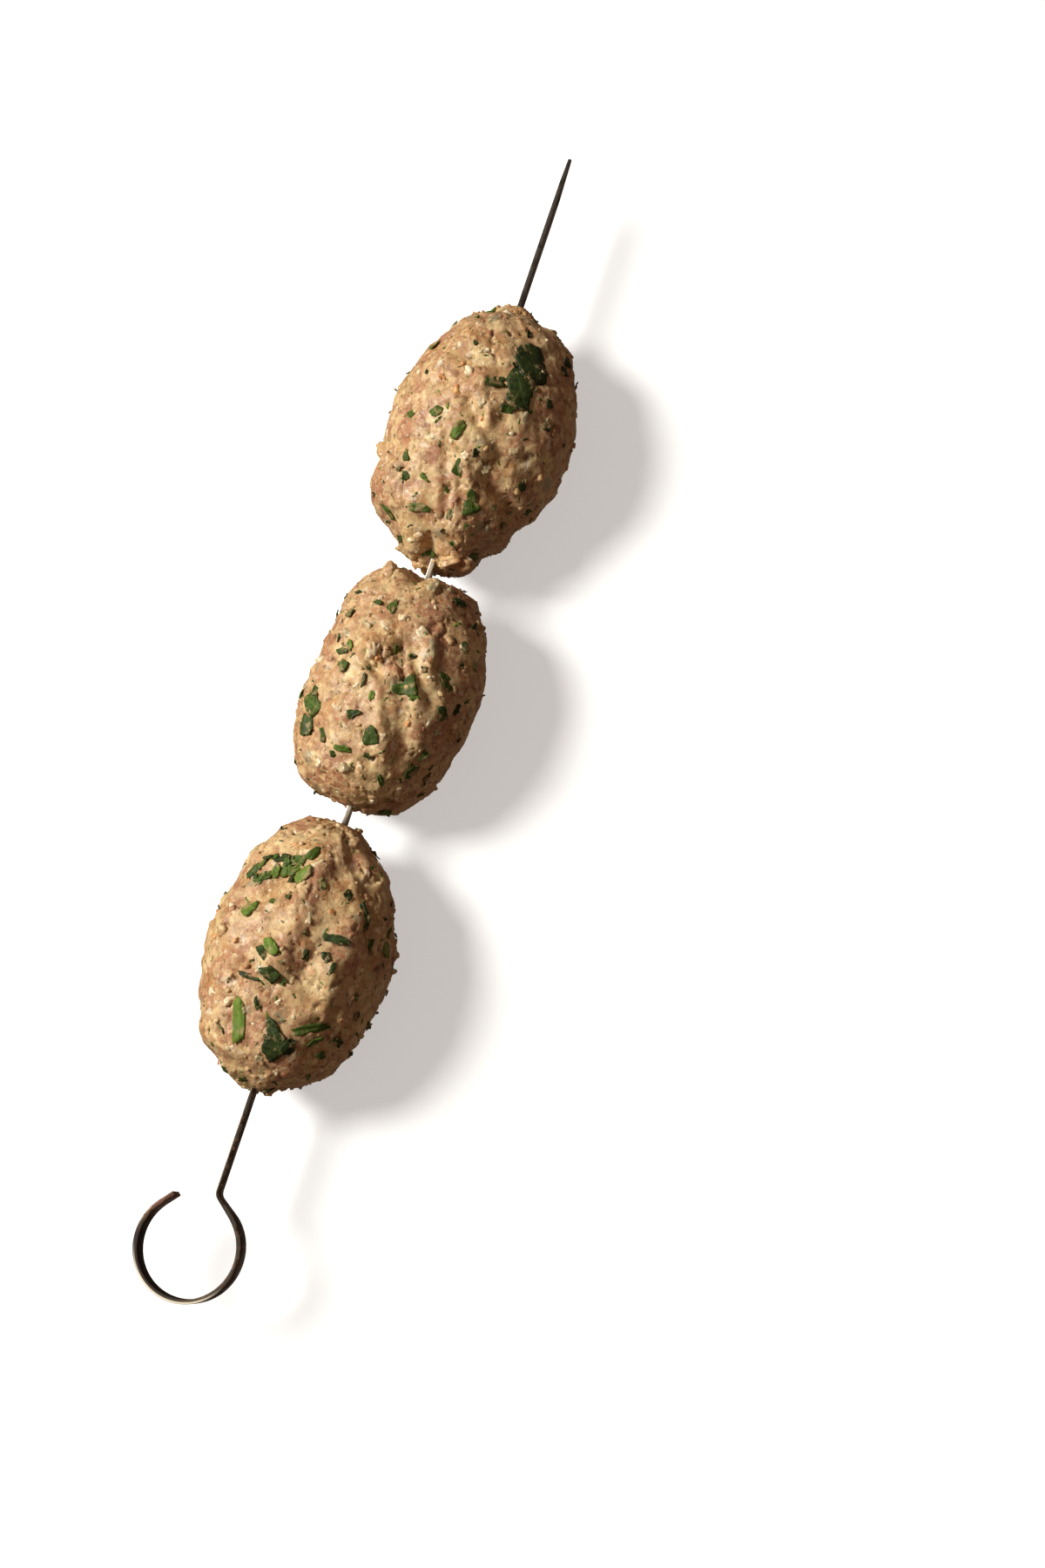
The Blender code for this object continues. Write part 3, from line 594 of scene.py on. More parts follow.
def blend_colour(tree, mask, under, over):
    """Lays one colour over another where a mask says so"""
    made = put(tree, "ShaderNodeMix", {"data_type": "RGBA", "clamp_factor": True})
    for name, value in ((0, mask), (6, under), (7, over)):
        if isinstance(value, bpy.types.NodeSocket):
            tree.links.new(value, made.inputs[name])
        else:
            made.inputs[name].default_value = value
    return made.outputs[2]


def rgb(red, green, blue):
    """A colour from 0 to 255 as seen on a screen, turned into the linear values that a shader reads"""
    shares = [c / 255 for c in (red, green, blue)]
    linear = [c / 12.92 if c <= 0.04045 else ((c + 0.055) / 1.055) ** 2.4 for c in shares]
    return (*linear, 1.0)


print("group", FLECKS.name, "with", len(FLECKS.nodes), "nodes")

# %% [markdown]
# ## Raw minced meat
# Minced meat isn't one colour. Each crumb is its own mix of lean and fat, pink, tan or cream, and
# neighbours smear into each other, so the colours come from cells of three sizes with bent, blurred
# borders. Fat, onion, spice, herb and dark specks lie over them. Every hollow gets a painted shade: the
# relief that the skin stores tells the material where. Light goes a little way into raw meat, so the
# shader gets some subsurface scattering.

# %% The meat's material
LEAN_PINK = rgb(180, 128, 94)
LEAN_TAN = rgb(184, 134, 84)
BEIGE = rgb(202, 165, 116)
CREAM = rgb(230, 202, 150)
# dark mince for some of the grains, and also the painted shade laid into the hollows
DARK_MINCE_AND_PAINTED_SHADE = rgb(112, 66, 40)
FAT = rgb(238, 222, 194)
SPICE = rgb(192, 112, 56)
DARK_SPECK = rgb(62, 40, 26)
HERB_DUST = rgb(76, 92, 42)
ONION_PATCH = rgb(160, 148, 118)
# size and share of the flecks, their colour and its strength
MEAT_FLECKS = (
    (3.8, 0.10, FAT, 0.50), (1.9, 0.09, FAT, 0.50), (3.6, 0.06, SPICE, 0.40), (1.3, 0.06, SPICE, 0.50),
    (0.9, 0.03, DARK_SPECK, 0.70), (1.5, 0.03, DARK_SPECK, 0.45), (1.6, 0.05, HERB_DUST, 0.55),
)


def make_meat_material():
    """Lean, fat, onion, spice and herb dust over a wet, crumbly skin"""
    material, tree, shader = new_material("raw kofta")
    coords = put(tree, "ShaderNodeTexCoord").outputs["Object"]
    place = vector_calc(tree, "SCALE", coords, scale=1 / MM)
    relief = put(tree, "ShaderNodeAttribute", {"attribute_name": "relief"}).outputs["Fac"]

    def cloud(size, detail=2.0, rough=0.5):
        return put(tree, "ShaderNodeTexNoise", inputs={
            "Vector": place, "Scale": 1 / size, "Detail": detail, "Roughness": rough})

    push = vector_calc(tree, "SUBTRACT", cloud(2.4, 3.0, 0.6).outputs["Color"], (0.5, 0.5, 0.5))
    bent = vector_calc(tree, "ADD", place, vector_calc(tree, "SCALE", push, scale=3.4))

    def cell_tones(size, smoothness):
        cells = put(tree, "ShaderNodeTexVoronoi", {"feature": "SMOOTH_F1"}, {
            "Vector": bent, "Scale": 1 / size, "Smoothness": smoothness})
        return put(tree, "ShaderNodeSeparateColor", inputs={0: cells.outputs["Color"]}).outputs

    broad, fine = cloud(11.0, 2.0).outputs[0], cloud(0.7, 3.0, 0.6).outputs[0]
    patch, crumb, grain = cell_tones(4.6, 0.5), cell_tones(2.0, 0.35), cell_tones(0.9, 0.25)
    colour = blend_colour(tree, remap(tree, broad, 0.42, 0.58), LEAN_PINK, BEIGE)
    for tone, low, high, strength, over in (
        (patch[0], 0.52, 0.78, 0.62, CREAM), (patch[1], 0.55, 0.80, 0.70, LEAN_TAN),
        (patch[2], 0.58, 0.80, 0.60, LEAN_PINK), (crumb[0], 0.55, 0.85, 0.50, CREAM),
        (crumb[1], 0.58, 0.88, 0.45, LEAN_PINK), (crumb[2], 0.60, 0.90, 0.28, DARK_MINCE_AND_PAINTED_SHADE),
        (grain[0], 0.56, 0.88, 0.40, CREAM), (grain[1], 0.58, 0.90, 0.30, DARK_MINCE_AND_PAINTED_SHADE),
    ):
        colour = blend_colour(tree, remap(tree, tone, low, high, 0.0, strength), colour, over)
    onion = flecks(tree, place, 5.6, 0.10, 31.0, 1.0)
    colour = blend_colour(tree, calc(tree, "MULTIPLY", onion, 0.70), colour, ONION_PATCH)
    for number, (size, share, over, strength) in enumerate(MEAT_FLECKS):
        mask = flecks(tree, place, size, share, 7.0 * number)
        colour = blend_colour(tree, calc(tree, "MULTIPLY", mask, strength), colour, over)
    # painted shade: the lower the relief, the darker the meat
    colour = blend_colour(tree, remap(tree, relief, 0.36, 0.08, 0.0, 0.65), colour, DARK_MINCE_AND_PAINTED_SHADE)
    tree.links.new(colour, shader.inputs["Base Color"])
    wet_onion = calc(tree, "MULTIPLY", onion, -0.12)
    rough = calc(tree, "ADD", remap(tree, fine, 0.35, 0.70, 0.38, 0.62), wet_onion)
    tree.links.new(rough, shader.inputs["Roughness"])
    height = calc(tree, "ADD", fine, calc(tree, "MULTIPLY", grain[2], 0.5))
    bump = put(tree, "ShaderNodeBump", inputs={
        "Height": height, "Strength": 0.5, "Distance": 0.18 * MM})
    tree.links.new(bump.outputs[0], shader.inputs["Normal"])
    shader.inputs["Subsurface Weight"].default_value = 0.22
    shader.inputs["Subsurface Radius"].default_value = (1.0, 0.42, 0.22)
    shader.inputs["Subsurface Scale"].default_value = 1.6 * MM
    shader.inputs["Specular IOR Level"].default_value = 0.40
    return material


MEAT = make_meat_material()
print("material", MEAT.name, "with", len(MEAT.node_tree.nodes), "nodes")

# %% [markdown]
# ## The skin of a lump
# The ball that the form is drawn from has a few ten thousand facets, which is enough for folds and finger
# marks but not for the grain of the mince. A geometry tree adds that. It splits every facet, then pushes
# each corner out or in by five reliefs: soft knobs a few millimetres across, an uneven swell, crumbs,
# pores and fine cracks. It also stores the relief, so that the material can paint shade into the hollows.
# Where the meat rests, the tree presses it flat. Blender's sphere lists its faces in another order on each
# run, and the scatter further down would turn that into other places, so the faces are sorted first.

# %% The relief tree
def relief_tree():
    """Splits a skin and raises the grain of the mince on it. Sizes and heights are in millimetres"""
    tree, start, end = geometry_tree("mince_relief", {
        "Knob size": ("NodeSocketFloat", 4.6), "Knob height": ("NodeSocketFloat", 0.80),
        "Swell size": ("NodeSocketFloat", 2.8), "Swell height": ("NodeSocketFloat", 0.24),
        "Crumb size": ("NodeSocketFloat", 1.4), "Crumb height": ("NodeSocketFloat", 0.38),
        "Pore size": ("NodeSocketFloat", 2.0), "Pore depth": ("NodeSocketFloat", 0.60),
        "Crack size": ("NodeSocketFloat", 9.0), "Crack depth": ("NodeSocketFloat", 0.55),
        "Seed": ("NodeSocketFloat", 0.0), "Material": ("NodeSocketMaterial", None),
    })
    ask = start.outputs
    split = put(tree, "GeometryNodeSubdivisionSurface", inputs={"Mesh": ask["Geometry"], "Level": 1})
    position = put(tree, "GeometryNodeInputPosition").outputs[0]
    place = vector_calc(tree, "SCALE", position, scale=1 / MM)
    shift = put(tree, "ShaderNodeCombineXYZ", inputs={0: ask["Seed"], 2: ask["Seed"]}).outputs[0]
    place = vector_calc(tree, "ADD", place, shift)

    def cloud(where, size, detail=2.0, rough=0.5):
        scale = calc(tree, "DIVIDE", 1.0, size)
        return put(tree, "ShaderNodeTexNoise", inputs={
            "Vector": where, "Scale": scale, "Detail": detail, "Roughness": rough})

    def domes(size, smoothness):
        cells = put(tree, "ShaderNodeTexVoronoi", {"feature": "SMOOTH_F1"}, {
            "Vector": bent, "Scale": calc(tree, "DIVIDE", 1.0, size), "Smoothness": smoothness})
        return calc(tree, "SUBTRACT", 0.42, cells.outputs["Distance"])

    def product(*terms):
        whole = terms[0]
        for term in terms[1:]:
            whole = calc(tree, "MULTIPLY", whole, term)
        return whole

    wander = vector_calc(tree, "SUBTRACT", cloud(place, 3.2, 3.0, 0.6).outputs["Color"], (0.5, 0.5, 0.5))
    bent = vector_calc(tree, "ADD", place, vector_calc(tree, "SCALE", wander, scale=3.0))
    smeared = remap(tree, cloud(place, 7.0, 2.0).outputs[0], 0.40, 0.58, 0.30, 1.0)
    knob = product(domes(ask["Knob size"], 0.6), ask["Knob height"])
    rise = calc(tree, "SUBTRACT", cloud(place, ask["Swell size"]).outputs[0], 0.5)
    swell = product(rise, ask["Swell height"], 2.6)
    crumb = product(domes(ask["Crumb size"], 0.30), ask["Crumb height"], smeared)
    hole = remap(tree, cloud(bent, ask["Pore size"], 1.0).outputs[0], 0.64, 0.76)
    pore = product(hole, ask["Pore depth"], -1.0)
    walls = put(tree, "ShaderNodeTexVoronoi", {"feature": "DISTANCE_TO_EDGE"}, {
        "Vector": bent, "Scale": calc(tree, "DIVIDE", 1.0, ask["Crack size"])})
    torn = remap(tree, cloud(place, 7.0, 1.0).outputs[0], 0.52, 0.62)
    crack = product(remap(tree, walls.outputs["Distance"], 0.06, 0.0), torn, ask["Crack depth"], -1.0)
    total = knob
    for part in (swell, crumb, pore, crack):
        total = calc(tree, "ADD", total, part)
    normal = put(tree, "GeometryNodeInputNormal").outputs[0]
    offset = vector_calc(tree, "SCALE", normal, scale=calc(tree, "MULTIPLY", total, MM))
    relief = remap(tree, total, -0.9, 0.9, kind="LINEAR")
    note = put(tree, "GeometryNodeStoreNamedAttribute", {"data_type": "FLOAT", "domain": "POINT"}, {
        "Geometry": split.outputs[0], "Name": "relief", "Value": relief})
    moved = put(tree, "GeometryNodeSetPosition", inputs={"Geometry": note.outputs[0], "Offset": offset})
    parts = put(tree, "ShaderNodeSeparateXYZ", inputs={0: position})
    level = put(tree, "ShaderNodeCombineXYZ", inputs={
        0: parts.outputs[0], 1: parts.outputs[1], 2: calc(tree, "MAXIMUM", parts.outputs[2], 0.0)})
    rested = put(tree, "GeometryNodeSetPosition", inputs={
        "Geometry": moved.outputs[0], "Position": level.outputs[0]})
    smooth = put(tree, "GeometryNodeSetShadeSmooth", inputs={0: rested.outputs[0]})
    whole = put(tree, "GeometryNodeRealizeInstances", inputs={0: smooth.outputs[0]})
    painted = put(tree, "GeometryNodeSetMaterial", inputs={
        0: whole.outputs[0], "Material": ask["Material"]})
    tree.links.new(painted.outputs[0], end.inputs[0])
    return tree


MINCE_RELIEF = relief_tree()
print("tree", MINCE_RELIEF.name, "with", len(MINCE_RELIEF.nodes), "nodes")

# %% Draw the three skins
SKIN_AROUND = 144
SKIN_ALONG = 104


def draw_ball(name):
    """A lump's form before its grain: the facets of a ball carried to the skin"""
    bm = bmesh.new()
    bmesh.ops.create_uvsphere(bm, u_segments=SKIN_AROUND, v_segments=SKIN_ALONG, radius=1.0)
    bmesh.ops.rotate(bm, verts=bm.verts, matrix=Matrix.Rotation(math.pi / 2, 3, "Y"))
    for vert in bm.verts:
        vert.co = lump_start(name) + skin_place(name, vert.co.copy())
    bmesh.ops.recalc_face_normals(bm, faces=bm.faces)
    bm.verts.index_update()
    faces = sorted([vert.index for vert in face.verts] for face in bm.faces)
    mesh = bpy.data.meshes.new("ball")
    mesh.from_pydata([vert.co for vert in bm.verts], [], faces)
    bm.free()
    ball = bpy.data.objects.new("ball", mesh)
    bpy.context.scene.collection.objects.link(ball)
    return ball


def skin_tree(mesh):
    """A searchable copy of a skin"""
    bm = bmesh.new()
    bm.from_mesh(mesh)
    tree = BVHTree.FromBMesh(bm)
    bm.free()
    return tree


skins, skin_trees, form_trees = {}, {}, {}
for name, lump in LUMPS.items():
    ball = draw_ball(name)
    form_trees[name] = skin_tree(ball.data)
    mesh = run_tree(ball, MINCE_RELIEF, {"Seed": 10.0 * lump["seed"], "Material": MEAT})
    bpy.data.objects.remove(ball, do_unlink=True)
    skin_trees[name] = skin_tree(mesh)
    skins[name] = show("kofta_" + name + "_meat", mesh, "kofta_" + name)

# %% [markdown]
# ## Chopped parsley
# A chopped leaf is a thin, wavy scrap that clings to the wet meat: part of its rim lifts, part of it
# sinks under the mince. A texture would look printed on, so each leaf is a thin solid. Its outline is a
# lobed round that straight knife cuts have trimmed. The scrap is draped over the lump's form by casting
# rays down on it, and then it gets its thickness. Because it follows the form and not the grain, crumbs
# poke through it here and there.

# %% The outlines that a knife leaves
# lobes: bulges round the rim, depth: how deep they are
# cuts: knife cuts as (angle in degrees, distance from the middle)
LEAF_CUTS = {
    "oval": {"lobes": 2, "depth": 0.06, "cuts": ((180, 0.90),)},
    "lobed": {"lobes": 3, "depth": 0.32, "cuts": ((175, 0.60), (85, 0.85))},
    "shield": {"lobes": 3, "depth": 0.08, "cuts": ((180, 0.35), (95, 0.80))},
    "strip": {"lobes": 2, "depth": 0.06, "cuts": ((10, 0.85), (200, 0.80), (85, 0.75))},
    "torn": {"lobes": 5, "depth": 0.19, "cuts": ((65, 0.62), (160, 0.66), (255, 0.60))},
}
CUT_SWING = 16
CUT_SHIFT = 0.12
RIM_JITTER = 0.09
RIM_CORNERS = 28
RINGS = 4
LEAF_THICKNESS = 0.20 * MM
LEAF_LIFT = 0.20 * MM
LEAF_WAVE = 0.40 * MM
LEAF_DIP = (0.12 * MM, 0.42 * MM)
LOWEST_CORNER = 0.3 * MM
WAVES_ACROSS = 1.7
# how far outside the form a corner is dropped from, and how far it may fall, in millimetres
DROP_FROM = 4
DROP_REACH = 12


def leaf_rim(cut, rng):
    """The rim of a scrap in a box from -1 to 1, its tip towards +x"""
    shape = LEAF_CUTS[cut]
    phase = rng.uniform(-0.5, 0.5)
    cuts = []
    for angle, away in shape["cuts"]:
        swung = math.radians(angle + rng.uniform(-CUT_SWING, CUT_SWING))
        cuts.append((swung, away + rng.uniform(-CUT_SHIFT, CUT_SHIFT)))
    rim = []
    for i in range(RIM_CORNERS):
        angle = 2 * math.pi * i / RIM_CORNERS
        reach = 1 + shape["depth"] * math.cos(shape["lobes"] * angle + phase)
        for cut_angle, away in cuts:
            facing = math.cos(angle - cut_angle)
            if facing > 0.05:
                reach = min(reach, away / facing)
        reach *= 1 + rng.uniform(-RIM_JITTER, RIM_JITTER)
        rim.append(Vector((math.cos(angle), math.sin(angle))) * reach)
    lows = [min(corner[k] for corner in rim) for k in (0, 1)]
    highs = [max(corner[k] for corner in rim) for k in (0, 1)]
    return [Vector([2 * (corner[k] - lows[k]) / (highs[k] - lows[k]) - 1 for k in (0, 1)])
            for corner in rim]


print("a torn rim starts at", [round(c, 2) for c in leaf_rim("torn", random.Random(1))[0]])

# %% Drape a scrap over the skin
def skin_axes(normal, turn):
    """Axes on the skin: along the skewer turned by an angle, across that, and outwards"""
    along = Vector((1, 0, 0)) - normal * normal.x
    if along.length < 0.1:
        along = Vector((0, 0, 1)) - normal * normal.z
    along.normalize()
    along.rotate(Matrix.Rotation(turn, 3, normal))
    return along, normal.cross(along)


def add_leaf(bm, form, point, normal, length, width, turn, cut, tone, rng):
    """Adds one scrap to a bmesh: rings round its middle, each corner dropped on the form of the meat"""
    along, across = skin_axes(normal, turn)
    rim = leaf_rim(cut, rng)
    spot = rng.uniform(0, 99)
    dip = Vector((rng.uniform(-1, 1), rng.uniform(-1, 1))).normalized() * rng.uniform(*LEAF_DIP)
    uv_layer = bm.loops.layers.uv.verify()
    tone_layer = bm.verts.layers.float.get("tone") or bm.verts.layers.float.new("tone")
    flat = [Vector((0, 0))] + [corner * (ring / RINGS) for ring in range(1, RINGS + 1) for corner in rim]
    verts = []
    for corner in flat:
        level = point + along * corner.x * length / 2 + across * corner.y * width / 2
        above = level + normal * DROP_FROM * MM
        hit = form.ray_cast(above, -normal, DROP_REACH * MM)[0] or above - normal * DROP_FROM * MM
        swing = Vector((corner.x * WAVES_ACROSS, corner.y * WAVES_ACROSS, spot))
        wave = noise.noise(swing) * LEAF_WAVE * (0.4 + corner.length)
        place = hit + normal * (LEAF_LIFT + wave + dip.dot(corner))
        place.z = max(place.z, LOWEST_CORNER)
        vert = bm.verts.new(place)
        vert[tone_layer] = tone
        verts.append(vert)
    faces = []
    for i in range(RIM_CORNERS):
        j = (i + 1) % RIM_CORNERS
        faces.append(bm.faces.new((verts[0], verts[1 + i], verts[1 + j])))
        for ring in range(RINGS - 1):
            inner, outer = 1 + ring * RIM_CORNERS, 1 + (ring + 1) * RIM_CORNERS
            faces.append(bm.faces.new((verts[inner + i], verts[outer + i], verts[outer + j])))
            faces.append(bm.faces.new((verts[inner + i], verts[outer + j], verts[inner + j])))
    lookup = {vert: corner for vert, corner in zip(verts, flat)}
    for face in faces:
        face.smooth = True
        for loop in face.loops:
            loop[uv_layer].uv = lookup[loop.vert]


print("leaf of", 1 + RINGS * RIM_CORNERS, "corners")

# %% [markdown]
# ### What a parsley leaf looks like close to
# The scrap's own flat coordinates carry a pale midrib and side veins, so they turn with each leaf. Its
# tone makes it a young bright leaf or an old dark one, and a smear of mince dulls it in places.

# %% The parsley's material
LEAF_DARK = rgb(26, 34, 13)
LEAF_MIDDLE = rgb(66, 86, 26)
LEAF_BRIGHT = rgb(108, 132, 46)
LEAF_VEIN = rgb(136, 160, 64)
LEAF_SMEAR = rgb(166, 140, 98)


def make_parsley_material():
    """Green scraps with veins, mottling and a smear of mince"""
    material, tree, shader = new_material("parsley")
    place = vector_calc(tree, "SCALE", put(tree, "ShaderNodeTexCoord").outputs["Object"], scale=1 / MM)
    tone = put(tree, "ShaderNodeAttribute", {"attribute_name": "tone"}).outputs["Fac"]
    leaf = put(tree, "ShaderNodeSeparateXYZ", inputs={0: put(tree, "ShaderNodeUVMap").outputs[0]})
    mottle = put(tree, "ShaderNodeTexNoise", inputs={
        "Vector": place, "Scale": 0.9, "Detail": 3.0}).outputs[0]
    smear = put(tree, "ShaderNodeTexNoise", inputs={
        "Vector": place, "Scale": 0.35, "Detail": 4.0, "Roughness": 0.7}).outputs[0]
    shade = calc(tree, "ADD", tone, calc(tree, "MULTIPLY", calc(tree, "SUBTRACT", mottle, 0.5), 0.7))
    colour = blend_colour(tree, remap(tree, shade, 0.0, 0.5, kind="LINEAR"), LEAF_DARK, LEAF_MIDDLE)
    colour = blend_colour(tree, remap(tree, shade, 0.5, 1.0, kind="LINEAR"), colour, LEAF_BRIGHT)
    side = calc(tree, "ABSOLUTE", leaf.outputs[1])
    rib = remap(tree, side, 0.10, 0.02)
    slant = calc(tree, "FRACT", calc(tree, "SUBTRACT", calc(tree, "MULTIPLY", leaf.outputs[0], 2.4), side))
    branch = remap(tree, calc(tree, "ABSOLUTE", calc(tree, "SUBTRACT", slant, 0.5)), 0.12, 0.02, 0.0, 0.7)
    vein = calc(tree, "MAXIMUM", rib, branch)
    pale = calc(tree, "MULTIPLY", vein, calc(tree, "MULTIPLY", tone, 0.45))
    colour = blend_colour(tree, pale, colour, LEAF_VEIN)
    colour = blend_colour(tree, remap(tree, smear, 0.52, 0.62, 0.0, 0.72), colour, LEAF_SMEAR)
    tree.links.new(colour, shader.inputs["Base Color"])
    tree.links.new(remap(tree, mottle, 0.3, 0.7, 0.48, 0.66), shader.inputs["Roughness"])
    height = calc(tree, "SUBTRACT", mottle, calc(tree, "MULTIPLY", vein, 0.8))
    bump = put(tree, "ShaderNodeBump", inputs={
        "Height": height, "Strength": 0.5, "Distance": 0.12 * MM})
    tree.links.new(bump.outputs[0], shader.inputs["Normal"])
    shader.inputs["Specular IOR Level"].default_value = 0.25
    return material


PARSLEY = make_parsley_material()
print("material", PARSLEY.name, "with", len(PARSLEY.node_tree.nodes), "nodes")

# %% [markdown]
# ### Where the parsley lies
# The large scraps are listed in the table of lumps. A rule spreads smaller ones over the rest of
# the skin, the sides and the back too: it aims from outside at the lump's middle, and keeps a place only
# if it is clear of the others.

# %% Hang every scrap on its lump
SCATTERED_LEAVES = 44
SCATTERED_LENGTH = (1.2 * MM, 4.4 * MM)
SCATTER_SPACING = 3.6 * MM
SCATTER_LOWEST = -0.62
TRIES_EACH = 60
ALONG_SPREAD = 1.4
# where rays start, how long they are and how far they stand apart, in millimetres
FAR_OUTSIDE = 80
NORMAL_FROM = 6
NORMAL_REACH = 14
NORMAL_SPAN = 1.6


def seen_from_above(name, skin, along, across):
    """Where a plumb line meets the top of a lump, at a place measured from the lump's start"""
    above = lump_start(name) + Vector((along * MM, across * MM, FAR_OUTSIDE * MM))
    return skin.ray_cast(above, Vector((0, 0, -1)))[:2]


def lump_middle(name):
    """The middle of a lump, on the skewer's axis"""
    return lump_start(name) + Vector((LUMPS[name]["length"] * MM / 2, 0, 0))


def scattered_places(name, skin, count, spacing, taken, rng):
    """Evenly spread random places on a skin, clear of the places already taken and of its underside"""
    places = []
    for _ in range(count * TRIES_EACH):
        direction = Vector((rng.gauss(0, ALONG_SPREAD), rng.gauss(0, 1), rng.gauss(0, 1))).normalized()
        outside = lump_middle(name) + direction * FAR_OUTSIDE * MM
        hit, normal, _, _ = skin.ray_cast(outside, -direction)
        if hit is None or direction.z < SCATTER_LOWEST:
            continue
        if any((hit - other).length < spacing for other in taken):
            continue
        taken.append(hit)
        places.append((hit, normal))
        if len(places) == count:
            break
    return places


def smooth_normal(skin, hit, normal):
    """The skin's direction averaged over a few millimetres, so that one crumb doesn't tip a scrap"""
    above = hit + normal * NORMAL_FROM * MM
    offsets = [axis * side * NORMAL_SPAN * MM for axis in skin_axes(normal, 0.0) for side in (-1, 1)]
    around = [skin.ray_cast(above + offset, -normal, NORMAL_REACH * MM)[1] for offset in offsets]
    return sum((n for n in around if n is not None), normal.copy()).normalized()


def thicken(piece_mesh, thickness):
    """Gives an open scrap its thickness, and turns it into a plain mesh again"""
    thing = bpy.data.objects.new("thin", piece_mesh)
    bpy.context.scene.collection.objects.link(thing)
    solid = thing.modifiers.new("thickness", "SOLIDIFY")
    solid.thickness = thickness
    solid.offset = 0
    bpy.context.view_layer.update()
    evaluated = thing.evaluated_get(bpy.context.evaluated_depsgraph_get())
    mesh = bpy.data.meshes.new_from_object(evaluated)
    bpy.data.objects.remove(thing, do_unlink=True)
    return mesh


taken_places = {}
for name, lump in LUMPS.items():
    rng = random.Random(100 + lump["seed"])
    form, bm, taken = form_trees[name], bmesh.new(), []
    for along, across, length, width, turn, cut, tone in lump["leaves"]:
        hit, normal = seen_from_above(name, form, along, across)
        normal = smooth_normal(form, hit, normal)
        taken.append(hit)
        add_leaf(bm, form, hit, normal, length * MM, width * MM, math.radians(turn), cut, tone, rng)
    for along, across, size, stuff in lump["bits"]:
        taken.append(seen_from_above(name, form, along, across)[0])
    shortest, longest = SCATTERED_LENGTH
    for hit, normal in scattered_places(name, form, SCATTERED_LEAVES, SCATTER_SPACING, taken, rng):
        length = shortest + (longest - shortest) * rng.random() ** 2
        width, turn = length * rng.uniform(0.4, 0.85), rng.uniform(0, 2 * math.pi)
        cut, tone = rng.choice(("torn", "strip", "torn", "lobed")), rng.uniform(0.05, 0.70)
        add_leaf(bm, form, hit, smooth_normal(form, hit, normal), length, width, turn, cut, tone, rng)
    loose = bpy.data.meshes.new("scraps")
    bm.to_mesh(loose)
    bm.free()
    leaves = thicken(loose, LEAF_THICKNESS)
    leaves.materials.append(PARSLEY)
    show("parsley_" + name, leaves)
    taken_places[name] = taken

# %% [markdown]
# ## Onion, fat and large crumbs
# Chopped onion shows as wet, half-clear dice, fat as soft white bits, and here and there a crumb of mince
# stands out, plain or stained with spice. All of them start as a cube that is subdivided and pushed about
# by noise, so no two are alike. They sit mostly sunk in. More crumbs crowd round the skewer, where the
# meat was torn as it slid on.

# %% The four kinds of bits
# showing: the share of a bit that stands out of the skin, square: how much of the cube is left
# scattered: how many more of them a rule adds to each lump, sizes: how large those are
BIT_KINDS = {
    "onion": {"showing": 0.13, "square": 0.50, "scattered": 7, "sizes": (1.6 * MM, 3.4 * MM)},
    "fat": {"showing": 0.10, "square": 0.30, "scattered": 18, "sizes": (1.2 * MM, 3.2 * MM)},
    "spiced": {"showing": 0.16, "square": 0.25, "scattered": 8, "sizes": (0.9 * MM, 2.2 * MM)},
    "crumb": {"showing": 0.36, "square": 0.15, "scattered": 8, "sizes": (1.2 * MM, 2.6 * MM)},
}
# relief stored on the bits, high enough that the meat's painted shade for hollows leaves them alone
CRUMB_RELIEF = 0.62
END_CRUMBS = 6
END_CRUMB_SIZE = (1.0 * MM, 2.4 * MM)
END_CRUMB_AWAY = (2.2 * MM, 6.5 * MM)
END_CRUMB_ANGLES = (140, 400)
END_OUTSIDE = 60


def make_bit_material(name, flesh, pale, see_through):
    """A small wet piece, mottled between two colours. see_through is its share of scattered light"""
    material, tree, shader = new_material(name)
    place = vector_calc(tree, "SCALE", put(tree, "ShaderNodeTexCoord").outputs["Object"], scale=1 / MM)
    cloud = put(tree, "ShaderNodeTexNoise", inputs={
        "Vector": place, "Scale": 0.9, "Detail": 3.0}).outputs[0]
    colour = blend_colour(tree, remap(tree, cloud, 0.38, 0.62), flesh, pale)
    tree.links.new(colour, shader.inputs["Base Color"])
    tree.links.new(remap(tree, cloud, 0.3, 0.7, 0.28, 0.48), shader.inputs["Roughness"])
    bump = put(tree, "ShaderNodeBump", inputs={"Height": cloud, "Strength": 0.5, "Distance": 0.3 * MM})
    tree.links.new(bump.outputs[0], shader.inputs["Normal"])
    shader.inputs["Subsurface Weight"].default_value = see_through
    shader.inputs["Subsurface Radius"].default_value = (1.0, 0.8, 0.5)
    shader.inputs["Subsurface Scale"].default_value = 1.2 * MM
    return material


ONION = make_bit_material("onion", rgb(170, 150, 112), rgb(204, 182, 142), 0.5)
FAT_BIT = make_bit_material("fat", rgb(214, 184, 142), rgb(234, 214, 180), 0.3)
SPICED_BIT = make_bit_material("spiced crumb", rgb(196, 128, 72), rgb(226, 174, 116), 0.2)
BIT_MATERIALS = {"onion": ONION, "fat": FAT_BIT, "spiced": SPICED_BIT, "crumb": MEAT}
print("bits of", sorted(BIT_MATERIALS))

# %% Press the bits into the lumps
BIT_CUTS = 5
BIT_RADIUS = 0.56
BIT_DENTS = 0.45
DENTS_ACROSS = 2.6


